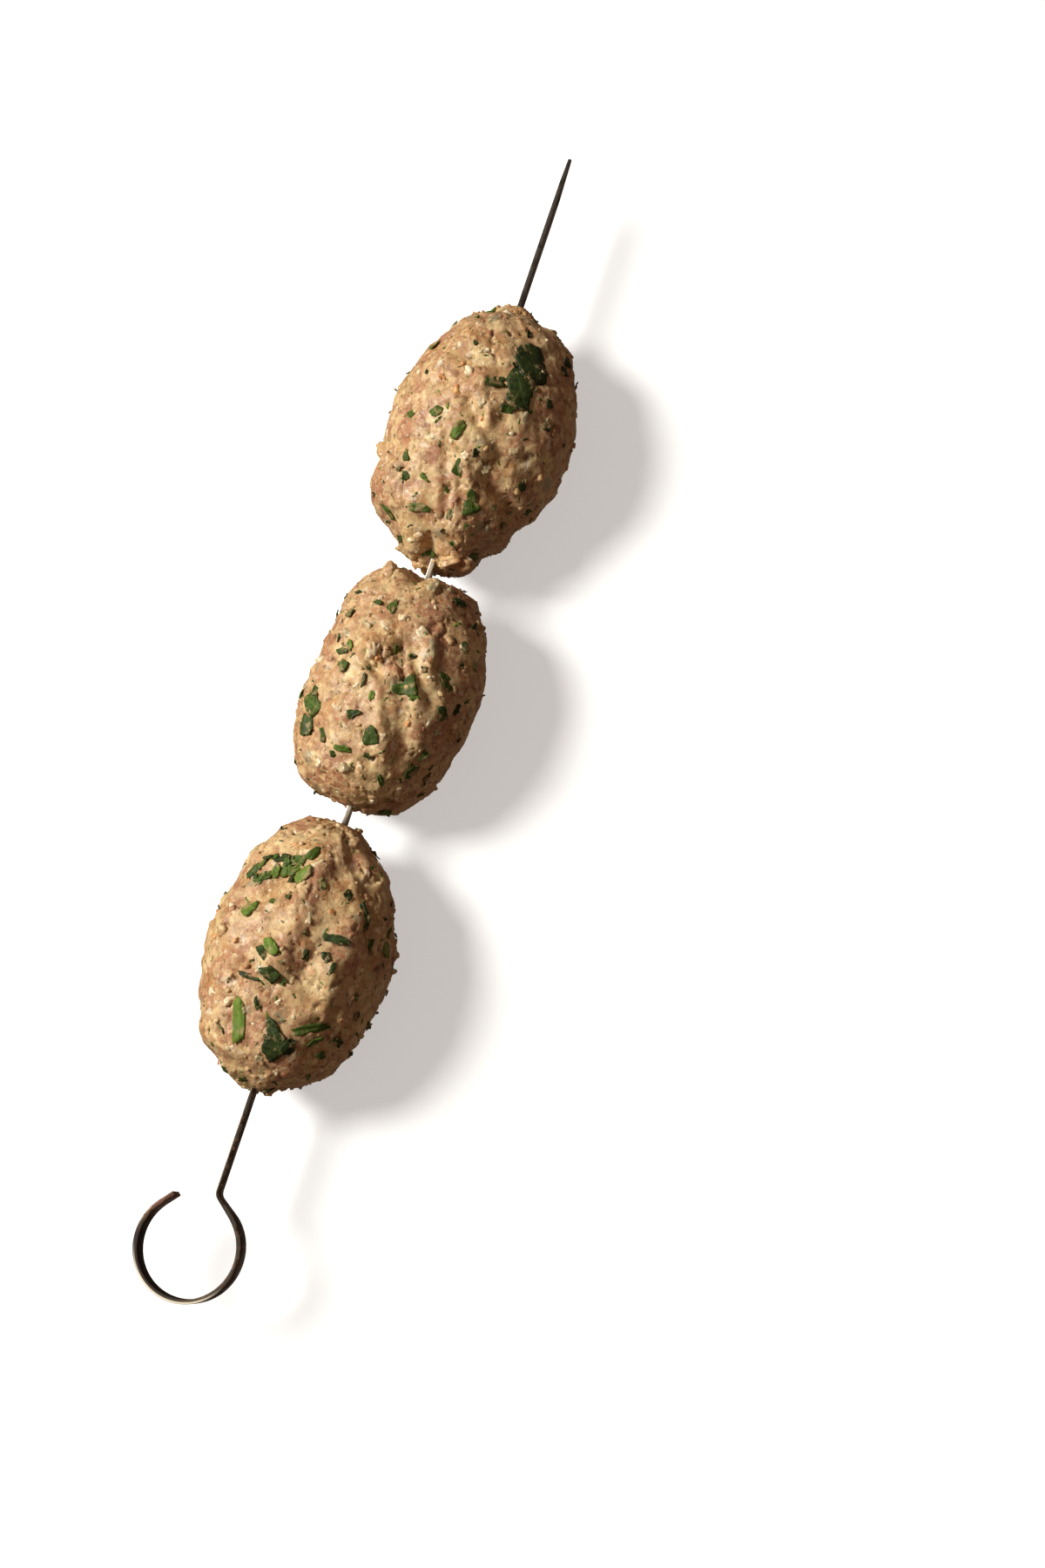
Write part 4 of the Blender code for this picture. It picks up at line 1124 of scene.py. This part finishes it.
def add_bit(bm, point, normal, size, kind, rng):
    """Adds one tumbled, rounded piece, mostly sunk in the skin, to a bmesh"""
    shape = bmesh.new()
    bmesh.ops.create_cube(shape, size=1.0)
    bmesh.ops.subdivide_edges(shape, edges=shape.edges[:], cuts=BIT_CUTS, use_grid_fill=True)
    relief_layer = shape.verts.layers.float.new("relief")
    stretch = Vector((rng.uniform(0.9, 1.3), rng.uniform(0.65, 1.0), rng.uniform(0.6, 0.9))) * size
    axis = Vector((rng.gauss(0, 1), rng.gauss(0, 1), rng.gauss(0, 1))).normalized()
    turn = Quaternion(axis, rng.uniform(0, math.pi))
    spot = Vector((rng.uniform(0, 99), 0, 0))
    for vert in shape.verts:
        vert.co = vert.co.lerp(vert.co.normalized() * BIT_RADIUS, 1 - BIT_KINDS[kind]["square"])
        vert.co *= 1 + BIT_DENTS * noise.noise(vert.co * DENTS_ACROSS + spot)
        vert.co = turn @ Vector([vert.co[k] * stretch[k] for k in range(3)])
        vert.co += point - normal * size * (0.5 - BIT_KINDS[kind]["showing"])
        vert.co.z = max(vert.co.z, 0.0)
        vert[relief_layer] = CRUMB_RELIEF
    made = bpy.data.meshes.new("one")
    shape.to_mesh(made)
    shape.free()
    bm.from_mesh(made)
    bpy.data.meshes.remove(made)


def end_places(name, skin, rng):
    """Places on both ends of a lump, close round the skewer"""
    places = []
    for end in (-1, 1):
        for _ in range(END_CRUMBS):
            angle = math.radians(rng.uniform(*END_CRUMB_ANGLES))
            aside = Vector((0, math.cos(angle), math.sin(angle))) * rng.uniform(*END_CRUMB_AWAY)
            outside = lump_middle(name) + Vector((end * END_OUTSIDE * MM, 0, 0)) + aside
            hit, normal, _, _ = skin.ray_cast(outside, Vector((-end, 0, 0)))
            if hit is not None:
                places.append((hit, normal))
    return places


for name, lump in LUMPS.items():
    rng = random.Random(200 + lump["seed"])
    skin = skin_trees[name]
    meshes = {kind: bmesh.new() for kind in BIT_KINDS}
    for along, across, size, kind in lump["bits"]:
        hit, normal = seen_from_above(name, skin, along, across)
        add_bit(meshes[kind], hit, smooth_normal(skin, hit, normal), size * MM, kind, rng)
    for kind, rule in BIT_KINDS.items():
        places = scattered_places(name, skin, rule["scattered"], SCATTER_SPACING, taken_places[name], rng)
        for hit, normal in places:
            size = rng.uniform(*rule["sizes"])
            add_bit(meshes[kind], hit, smooth_normal(skin, hit, normal), size, kind, rng)
    for hit, normal in end_places(name, skin, rng):
        add_bit(meshes["crumb"], hit, normal, rng.uniform(*END_CRUMB_SIZE), "crumb", rng)
    for kind, bm in meshes.items():
        mesh = bpy.data.meshes.new(kind)
        bm.to_mesh(mesh)
        bm.free()
        mesh.shade_smooth()
        mesh.materials.append(BIT_MATERIALS[kind])
        show(kind + "_" + name, mesh)

# %% [markdown]
# ## The finest bits
# Between those pieces lie thousands of crumbs of mince and hundreds of shreds of herb and specks of fat.
# A scatter tree places them: it spreads points over the skin, stands a shape from a small collection on
# each, turns and scales it by a fixed seed, sinks it a little, and turns the whole into one plain mesh.
# It also gives each shape a random value to take its colour from: a tone to the herb, a relief to the
# mince.

# %% The scatter tree
LOWEST_POINT = 0.6 * MM
MOST_POINTS = 4e6


def scatter_tree():
    """Spreads small shapes over a skin. Spacing and sink are in metres, sizes are factors"""
    tree, start, end = geometry_tree("scatter_bits", {
        "Shapes": ("NodeSocketCollection", None), "Spacing": ("NodeSocketFloat", 0.002),
        "Smallest": ("NodeSocketFloat", 0.6), "Largest": ("NodeSocketFloat", 1.4),
        "Sink": ("NodeSocketFloat", 0.0002), "Tilt": ("NodeSocketFloat", 0.4),
        "Attribute": ("NodeSocketString", "tone"),
        "Low value": ("NodeSocketFloat", 0.05), "High value": ("NodeSocketFloat", 0.70),
        "Seed": ("NodeSocketInt", 0), "Material": ("NodeSocketMaterial", None),
    })
    ask = start.outputs
    points = put(tree, "GeometryNodeDistributePointsOnFaces", {"distribute_method": "POISSON"}, {
        "Mesh": ask["Geometry"], "Distance Min": ask["Spacing"], "Density Max": MOST_POINTS,
        "Seed": ask["Seed"]})
    position = put(tree, "GeometryNodeInputPosition").outputs[0]
    height = put(tree, "ShaderNodeSeparateXYZ", inputs={0: position}).outputs[2]
    resting = put(tree, "FunctionNodeCompare", {"data_type": "FLOAT", "operation": "LESS_THAN"}, {
        0: height, 1: LOWEST_POINT})
    kept = put(tree, "GeometryNodeDeleteGeometry", {"domain": "POINT"}, {
        "Geometry": points.outputs["Points"], "Selection": resting.outputs[0]})
    shapes = put(tree, "GeometryNodeCollectionInfo", inputs={
        "Collection": ask["Shapes"], "Separate Children": True, "Reset Children": True})

    def chance(kind, low, high, salt):
        """A random value between two others. The numbers are its sockets: low, high and the value"""
        seed = calc(tree, "ADD", ask["Seed"], float(salt))
        made = put(tree, "FunctionNodeRandomValue", {"data_type": kind}, {"Seed": seed})
        places = {"FLOAT": (2, 3, 1), "FLOAT_VECTOR": (0, 1, 0)}[kind]
        for place, value in zip(places, (low, high)):
            if isinstance(value, bpy.types.NodeSocket):
                tree.links.new(value, made.inputs[place])
            else:
                made.inputs[place].default_value = value
        return made.outputs[places[2]]

    widest = put(tree, "ShaderNodeCombineXYZ", inputs={0: ask["Tilt"], 1: ask["Tilt"], 2: math.pi})
    draw = chance("FLOAT_VECTOR", (-1, -1, -1), (1, 1, 1), 1)
    spin = vector_calc(tree, "MULTIPLY", draw, widest.outputs[0])
    turned = put(tree, "FunctionNodeRotateRotation", {"rotation_space": "LOCAL"}, {
        "Rotation": points.outputs["Rotation"], "Rotate By": spin})
    stood = put(tree, "GeometryNodeInstanceOnPoints", inputs={
        "Points": kept.outputs[0], "Instance": shapes.outputs[0], "Pick Instance": True,
        "Rotation": turned.outputs[0], "Scale": chance("FLOAT", ask["Smallest"], ask["Largest"], 2)})
    down = put(tree, "ShaderNodeCombineXYZ", inputs={2: calc(tree, "MULTIPLY", ask["Sink"], -1.0)})
    sunk = put(tree, "GeometryNodeTranslateInstances", inputs={
        "Instances": stood.outputs[0], "Translation": down.outputs[0], "Local Space": True})
    marked = put(tree, "GeometryNodeStoreNamedAttribute", {"data_type": "FLOAT", "domain": "INSTANCE"}, {
        "Geometry": sunk.outputs[0], "Name": ask["Attribute"],
        "Value": chance("FLOAT", ask["Low value"], ask["High value"], 3)})
    whole = put(tree, "GeometryNodeRealizeInstances", inputs={0: marked.outputs[0]})
    painted = put(tree, "GeometryNodeSetMaterial", inputs={
        0: whole.outputs[0], "Material": ask["Material"]})
    tree.links.new(painted.outputs[0], end.inputs[0])
    return tree


SCATTER = scatter_tree()
print("tree", SCATTER.name, "with", len(SCATTER.nodes), "nodes")

# %% The shapes to scatter, each a few millimetres across or less
CRUMB_RADIUS = 0.5 * MM
SHRED_THICKNESS = 0.12 * MM
SHRED_CORNERS = 8


def shape_collection(name, draw, count, seed):
    """A hidden collection of small shapes, each drawn by a function from its own draws"""
    collection = bpy.data.collections.new(name)
    rng = random.Random(seed)
    for i in range(count):
        bm = bmesh.new()
        draw(bm, rng)
        mesh = bpy.data.meshes.new(name + str(i))
        bm.to_mesh(mesh)
        bm.free()
        mesh.shade_smooth()
        collection.objects.link(bpy.data.objects.new(name + str(i), mesh))
    return collection


def draw_crumb(bm, rng):
    """A crumb of mince about a millimetre across: a ball squeezed and dented"""
    bmesh.ops.create_icosphere(bm, subdivisions=1, radius=CRUMB_RADIUS)
    bmesh.ops.subdivide_edges(bm, edges=bm.edges[:], cuts=1, smooth=0.6)
    stretch = Vector((rng.uniform(0.9, 1.6), rng.uniform(0.7, 1.1), rng.uniform(0.6, 0.95)))
    spot = Vector((rng.uniform(0, 99), 0, 0))
    for vert in bm.verts:
        vert.co *= 1 + 0.5 * noise.noise(vert.co / MM * 2.2 + spot)
        vert.co = Vector([vert.co[k] * stretch[k] for k in range(3)])


def draw_shred(bm, rng):
    """A shred of herb a millimetre or two long: a thin curled wedge, the same on both faces"""
    length = rng.uniform(0.9, 1.9) * MM
    width = rng.uniform(0.45, 0.9) * MM
    curl = rng.uniform(-0.25, 0.25) * MM
    angles = [2 * math.pi * i / SHRED_CORNERS for i in range(SHRED_CORNERS)]
    rim = [Vector((math.cos(a) * length / 2, math.sin(a) * width / 2 * rng.uniform(0.6, 1.2), 0))
           for a in angles]
    layers = []
    for side in (-1, 1):
        level = side * SHRED_THICKNESS / 2
        middle = bm.verts.new((0, 0, level))
        edge = [bm.verts.new(c + Vector((0, 0, level + curl * (2 * c.x / length) ** 2))) for c in rim]
        layers.append((middle, edge))
    for (middle, edge), order in zip(layers, (-1, 1)):
        for i in range(len(rim)):
            corners = (middle, edge[i], edge[(i + 1) % len(rim)])
            bm.faces.new(corners[::order])
    low, high = layers[0][1], layers[1][1]
    for i in range(len(rim)):
        j = (i + 1) % len(rim)
        bm.faces.new((low[i], low[j], high[j], high[i]))


CRUMBS = shape_collection("crumb_shape", draw_crumb, 6, 41)
SHREDS = shape_collection("shred_shape", draw_shred, 6, 42)

# %% Scatter crumbs, shreds of herb and specks of fat on every lump
SCATTERED = {
    "fine_crumbs_": {
        "Shapes": CRUMBS, "Spacing": 2.7 * MM, "Smallest": 0.7, "Largest": 2.3, "Sink": 0.60 * MM,
        "Tilt": 0.8, "Attribute": "relief", "Low value": 0.35, "High value": 0.7, "Material": MEAT,
    },
    "fine_shreds_": {
        "Shapes": SHREDS, "Spacing": 4.0 * MM, "Smallest": 0.4, "Largest": 1.4, "Sink": 0.06 * MM,
        "Tilt": 0.15, "Material": PARSLEY,
    },
    "fine_fat_": {
        "Shapes": CRUMBS, "Spacing": 10.0 * MM, "Smallest": 0.7, "Largest": 2.0, "Sink": 0.46 * MM,
        "Tilt": 0.8, "Material": FAT_BIT,
    },
}
for name, lump in LUMPS.items():
    for number, (label, values) in enumerate(SCATTERED.items()):
        mesh = run_tree(skins[name], SCATTER, {**values, "Seed": lump["seed"] * 10 + number})
        show(label + name, mesh)

# %% [markdown]
# ## The steel band
# The skewer is one band of steel, ground to a point and bent round at the other end. It could be a curve
# with a rectangular profile, but the point needs its two edges and its thickness ground differently, so
# it is a ribbon drawn along the centre line, thickened and eased. The band stands on its edge and leans a
# little to one side, and the lean fades out at the ring. The ribbon's flat map runs along the band in
# millimetres, which lets the material put its brushing, scorching and rust where the fire and the hand
# have been. Part of the dark is a painted dark reflection, and the edges carry painted highlights: a light
# rim and a cream glint on the ring.

# %% The band's path
BLADE_EDGE = 0.22 * MM
BLADE_CORNER = math.radians(50)
SHARP_EDGE = math.radians(35)
RING_LAST_ANGLE = math.radians(50)
RING_STEP = math.radians(3)
RING_END_STRAIGHT = 3.8 * MM
NECK_BEND = 1.2 * MM
POINT_TOP_LENGTH = 7 * MM
POINT_BOTTOM_LENGTH = 10 * MM
POINT_GRIND_LENGTH = 18 * MM
POINT_END_WIDTH = 0.8 * MM
POINT_END_THICKNESS = 0.80
STRAIGHT_STEP = 4 * MM
FIRST_STEP = 6
LEAN_FADE = 10 * MM


def ring_middle():
    """The middle of the ring in plan"""
    return NECK.to_2d() + Vector((-RING_CENTRE_BACK, RING_CENTRE_ASIDE))


def ring_path():
    """The band's centre line in plan, from just before the neck round the ring to its free end"""
    neck, centre = NECK.to_2d(), ring_middle()
    to_centre = centre - neck
    tangent_length = math.sqrt(to_centre.length_squared - RING_RADIUS ** 2)
    heading = math.atan2(to_centre.y, to_centre.x) + math.atan2(RING_RADIUS, tangent_length)
    tangent = neck + tangent_length * Vector((math.cos(heading), math.sin(heading)))
    first, last = neck + Vector((NECK_BEND, 0.0)), neck + (tangent - neck) * NECK_BEND / tangent_length
    path = [first.lerp(neck, t).lerp(neck.lerp(last, t), t) for t in (0.0, 0.25, 0.5, 0.75, 1.0)]
    start = math.atan2(tangent.y - centre.y, tangent.x - centre.x)
    stop = RING_LAST_ANGLE - 2 * math.pi
    steps = round((start - stop) / RING_STEP)
    for i in range(steps + 1):
        angle = start + (stop - start) * i / steps
        path.append(centre + RING_RADIUS * Vector((math.cos(angle), math.sin(angle))))
    onward = Vector((math.sin(stop), -math.cos(stop)))
    path.append(path[-1] + onward * RING_END_STRAIGHT)
    return path


def blade_stations():
    """(x, lower edge, upper edge, thickness share) along the band, from the very point back to the neck"""
    steps = int((POINT_X - NECK_X) / STRAIGHT_STEP)
    at_point = {0.0, 0.5 * POINT_TOP_LENGTH, POINT_TOP_LENGTH, POINT_BOTTOM_LENGTH, POINT_GRIND_LENGTH}
    backs = sorted(at_point | {i * STRAIGHT_STEP for i in range(FIRST_STEP, steps)})
    stations = []
    for back in backs:
        below = min(back / POINT_BOTTOM_LENGTH, 1.0)
        above = min(back / POINT_TOP_LENGTH, 1.0)
        ground = min(back / POINT_GRIND_LENGTH, 1.0)
        lower = (POINT_END_RISE - POINT_END_WIDTH / 2) * (1 - below) - BLADE_WIDTH / 2 * below
        upper = (POINT_END_RISE + POINT_END_WIDTH / 2) * (1 - above) + BLADE_WIDTH / 2 * above
        share = POINT_END_THICKNESS + (1 - POINT_END_THICKNESS) * ground
        stations.append((POINT_X - back, lower, upper, share))
    return stations


def band_corner(place, heading, lean, height):
    """A corner of the band: a height up its leaning section, above a place on the centre line in plan"""
    aside = Vector((-heading.y, heading.x)) * height * math.sin(lean)
    return Vector((place.x + aside.x, place.y + aside.y, AXIS_HEIGHT + height * math.cos(lean)))


def ring_leans(path):
    """The band's heading and lean at each place round the ring: the lean fades out just behind the neck"""
    leans, travelled = [], 0.0
    for i, place in enumerate(path):
        before, after = path[max(i - 1, 0)], path[min(i + 1, len(path) - 1)]
        travelled += (place - before).length
        fade = min(travelled / LEAN_FADE, 1.0)
        leans.append(((after - before).normalized(), BLADE_LEAN * (1 + math.cos(math.pi * fade)) / 2))
    return leans


print(len(ring_path()), "stations round the ring,", len(blade_stations()), "along the blade")

# %% The steel's material
STEEL_BARE = rgb(226, 220, 208)
STEEL_GREY = rgb(98, 90, 82)
STEEL_BROWN = rgb(66, 52, 38)
# soot, which is also used as a painted dark reflection where the handle and the ring are darkened
STEEL_SOOT_AND_DARK_REFLECTION = rgb(34, 25, 20)
STEEL_COPPER = rgb(106, 64, 50)
STEEL_RUST = rgb(116, 62, 32)
# worn edges, partly a painted highlight, and the painted glint on the ring
STEEL_WORN_EDGE_AND_GLINT = rgb(236, 224, 204)
# millimetres from the point to where the steel turns bright, and over how many it turns
POINT_BARE = 46.0
POINT_BLEND = 8.0
# millimetres before the free end at which it turns brown, and the copper tint begins
HANDLE_BROWN = 160.0
HANDLE_BLEND = 6.0
FREE_END_COPPER = 10.0
# the soot stretch is partly a painted dark reflection; the glint stretch is a painted reflection
# stretches of the ring, in millimetres before its free end: start, full, fading, end
RING_SOOT_AND_DARK_REFLECTION = (40.0, 32.0, 13.0, 8.0)
RING_GLINT = (46.0, 38.0, 24.0, 14.0)


def make_steel_material(length):
    """Flat steel, length in mm: brushed, grey at the point; brown, sooty, painted dark reflection at the
    handle
    """
    material, tree, shader = new_material("skewer steel")
    flat = put(tree, "ShaderNodeSeparateXYZ", inputs={0: put(tree, "ShaderNodeUVMap").outputs[0]})
    along, across = flat.outputs[0], flat.outputs[1]
    place = vector_calc(tree, "SCALE", put(tree, "ShaderNodeTexCoord").outputs["Object"], scale=1 / MM)

    def cloud(size, detail=3.0, vector=place, rough=0.55):
        return put(tree, "ShaderNodeTexNoise", inputs={
            "Vector": vector, "Scale": 1 / size, "Detail": detail, "Roughness": rough}).outputs[0]

    grain_place = put(tree, "ShaderNodeCombineXYZ", inputs={
        0: calc(tree, "MULTIPLY", along, 0.12), 1: calc(tree, "MULTIPLY", across, 6.0)}).outputs[0]
    brushing = cloud(0.5, 4.0, grain_place)
    blotch, spots = cloud(5.0, 4.0), cloud(1.4, 4.0, rough=0.7)
    near_point = remap(tree, along, POINT_BARE + POINT_BLEND, POINT_BARE)
    near_ring = remap(tree, along, length - HANDLE_BROWN - HANDLE_BLEND, length - HANDLE_BROWN)
    near_end = remap(tree, along, length - FREE_END_COPPER, length - FREE_END_COPPER / 3)

    def stretch(start, full, fading, end):
        """A mask for a stretch of the band, in millimetres before its free end"""
        return calc(tree, "MULTIPLY", remap(tree, along, length - start, length - full),
                    remap(tree, along, length - end, length - fading))

    dark = calc(tree, "MAXIMUM", near_point, near_ring)
    colour = blend_colour(tree, near_point, STEEL_BARE, STEEL_GREY)
    colour = blend_colour(tree, near_ring, colour, STEEL_BROWN)
    # soot, partly a painted dark reflection: blotches over the darker ends, and the dark stretch of the
    # ring
    scorch_and_dark_reflection = calc(tree, "MULTIPLY", dark, remap(tree, blotch, 0.42, 0.62, 0.0, 0.75))
    scorch_and_dark_reflection = calc(tree, "MAXIMUM", scorch_and_dark_reflection, calc(tree, "MULTIPLY", stretch(*RING_SOOT_AND_DARK_REFLECTION), 0.92))
    colour = blend_colour(tree, scorch_and_dark_reflection, colour, STEEL_SOOT_AND_DARK_REFLECTION)
    colour = blend_colour(tree, remap(tree, spots, 0.56, 0.70, 0.0, 0.6), colour, STEEL_SOOT_AND_DARK_REFLECTION)
    rust = calc(tree, "MULTIPLY", near_ring, remap(tree, spots, 0.46, 0.34))
    colour = blend_colour(tree, calc(tree, "MULTIPLY", rust, 0.4), colour, STEEL_RUST)
    copper = calc(tree, "MULTIPLY", near_end, remap(tree, blotch, 0.36, 0.56, 0.3, 0.8))
    colour = blend_colour(tree, copper, colour, STEEL_COPPER)
    # worn edges, partly a painted highlight: a lighter rim, strongest on the bright steel
    rim = remap(tree, calc(tree, "ABSOLUTE", across), 0.90, 0.99)
    edge_wear_and_highlight = remap(tree, dark, 0.0, 1.0, 0.9, 0.04, "LINEAR")
    worn_and_highlit_edge = calc(tree, "MULTIPLY", edge_wear_and_highlight, remap(tree, blotch, 0.30, 0.50, 0.6, 1.0))
    colour = blend_colour(tree, calc(tree, "MULTIPLY", rim, worn_and_highlit_edge), colour, STEEL_WORN_EDGE_AND_GLINT)
    # painted reflection: a cream glint along the ring's outer edge, over the stretch RING_GLINT
    plan = put(tree, "ShaderNodeSeparateXYZ", inputs={0: place}).outputs
    flat_place = put(tree, "ShaderNodeCombineXYZ", inputs={0: plan[0], 1: plan[1]}).outputs[0]
    from_middle = put(tree, "ShaderNodeVectorMath", {"operation": "DISTANCE"}, {
        0: flat_place, 1: (*(ring_middle() / MM), 0.0)}).outputs["Value"]
    outer = remap(tree, from_middle, RING_RADIUS / MM - 0.06, RING_RADIUS / MM + 0.20)
    glint = calc(tree, "MULTIPLY", calc(tree, "MULTIPLY", rim, outer), stretch(*RING_GLINT))
    colour = blend_colour(tree, glint, colour, STEEL_WORN_EDGE_AND_GLINT)
    tree.links.new(colour, shader.inputs["Base Color"])
    dull = calc(tree, "MAXIMUM", scorch_and_dark_reflection, rust)
    brushed = remap(tree, brushing, 0.3, 0.7, 0.24, 0.38)
    rough = calc(tree, "ADD", brushed, calc(tree, "MULTIPLY", dull, 0.35))
    tree.links.new(rough, shader.inputs["Roughness"])
    bare = remap(tree, calc(tree, "MAXIMUM", dull, glint), 0.0, 1.0, 1.0, 0.05, "LINEAR")
    metal = calc(tree, "MULTIPLY", bare, remap(tree, dark, 0.0, 1.0, 0.55, 1.0, "LINEAR"))
    tree.links.new(metal, shader.inputs["Metallic"])
    height = calc(tree, "ADD", calc(tree, "MULTIPLY", brushing, 0.5), calc(tree, "MULTIPLY", spots, 0.6))
    bump = put(tree, "ShaderNodeBump", inputs={
        "Height": height, "Strength": 0.25, "Distance": 0.05 * MM})
    tree.links.new(bump.outputs[0], shader.inputs["Normal"])
    shader.inputs["Specular IOR Level"].default_value = 0.1
    return material


print("soot on the ring from", RING_SOOT_AND_DARK_REFLECTION[0], "to", RING_SOOT_AND_DARK_REFLECTION[3], "mm before the free end")

# %% Draw the band
def draw_band():
    """The ribbon with its flat map, thickened, its edges eased. Gives the mesh and its length in mm"""
    bm = bmesh.new()
    uv_layer = bm.loops.layers.uv.new("band")
    rows, shares, travelled = [], [], []
    for x, lower, upper, share in blade_stations():
        rows.append([bm.verts.new(band_corner(Vector((x, AXIS_Y)), Vector((-1, 0)), BLADE_LEAN, height))
                     for height in (lower, upper)])
        shares.append(share)
    path = ring_path()
    for place, (heading, lean) in zip(path, ring_leans(path)):
        rows.append([bm.verts.new(band_corner(place, heading, lean, side * BLADE_WIDTH / 2))
                     for side in (-1, 1)])
        shares.append(1.0)
    run = 0.0
    for before, after in zip([rows[0]] + rows, rows):
        run += ((after[0].co + after[1].co) - (before[0].co + before[1].co)).length / 2 / MM
        travelled.append(run)
    for i in range(len(rows) - 1):
        face = bm.faces.new((rows[i][0], rows[i + 1][0], rows[i + 1][1], rows[i][1]))
        for loop, (k, side) in zip(face.loops, ((i, -1), (i + 1, -1), (i + 1, 1), (i, 1))):
            loop[uv_layer].uv = (travelled[k], side)
    mesh = bpy.data.meshes.new("ribbon")
    bm.to_mesh(mesh)
    bm.free()
    band = bpy.data.objects.new("ribbon", mesh)
    bpy.context.scene.collection.objects.link(band)
    ground = band.vertex_groups.new(name="ground")
    for i, share in enumerate(shares):
        ground.add([2 * i, 2 * i + 1], share, "REPLACE")
    thick = band.modifiers.new("thickness", "SOLIDIFY")
    thick.thickness = BLADE_THICKNESS
    thick.offset = 0
    thick.use_even_offset = True
    thick.vertex_group = ground.name
    ease = band.modifiers.new("eased edges", "BEVEL")
    ease.width = BLADE_EDGE
    ease.segments = 3
    ease.limit_method = "ANGLE"
    ease.angle_limit = BLADE_CORNER
    bpy.context.view_layer.update()
    solid = bpy.data.meshes.new_from_object(band.evaluated_get(bpy.context.evaluated_depsgraph_get()))
    bpy.data.objects.remove(band, do_unlink=True)
    return solid, travelled[-1]


band_mesh, band_length = draw_band()
STEEL = make_steel_material(band_length)
band_mesh.materials.clear()
band_mesh.materials.append(STEEL)
band_mesh.shade_smooth()
band_mesh.set_sharp_from_angle(angle=SHARP_EDGE)
show("skewer_band", band_mesh, "skewer")
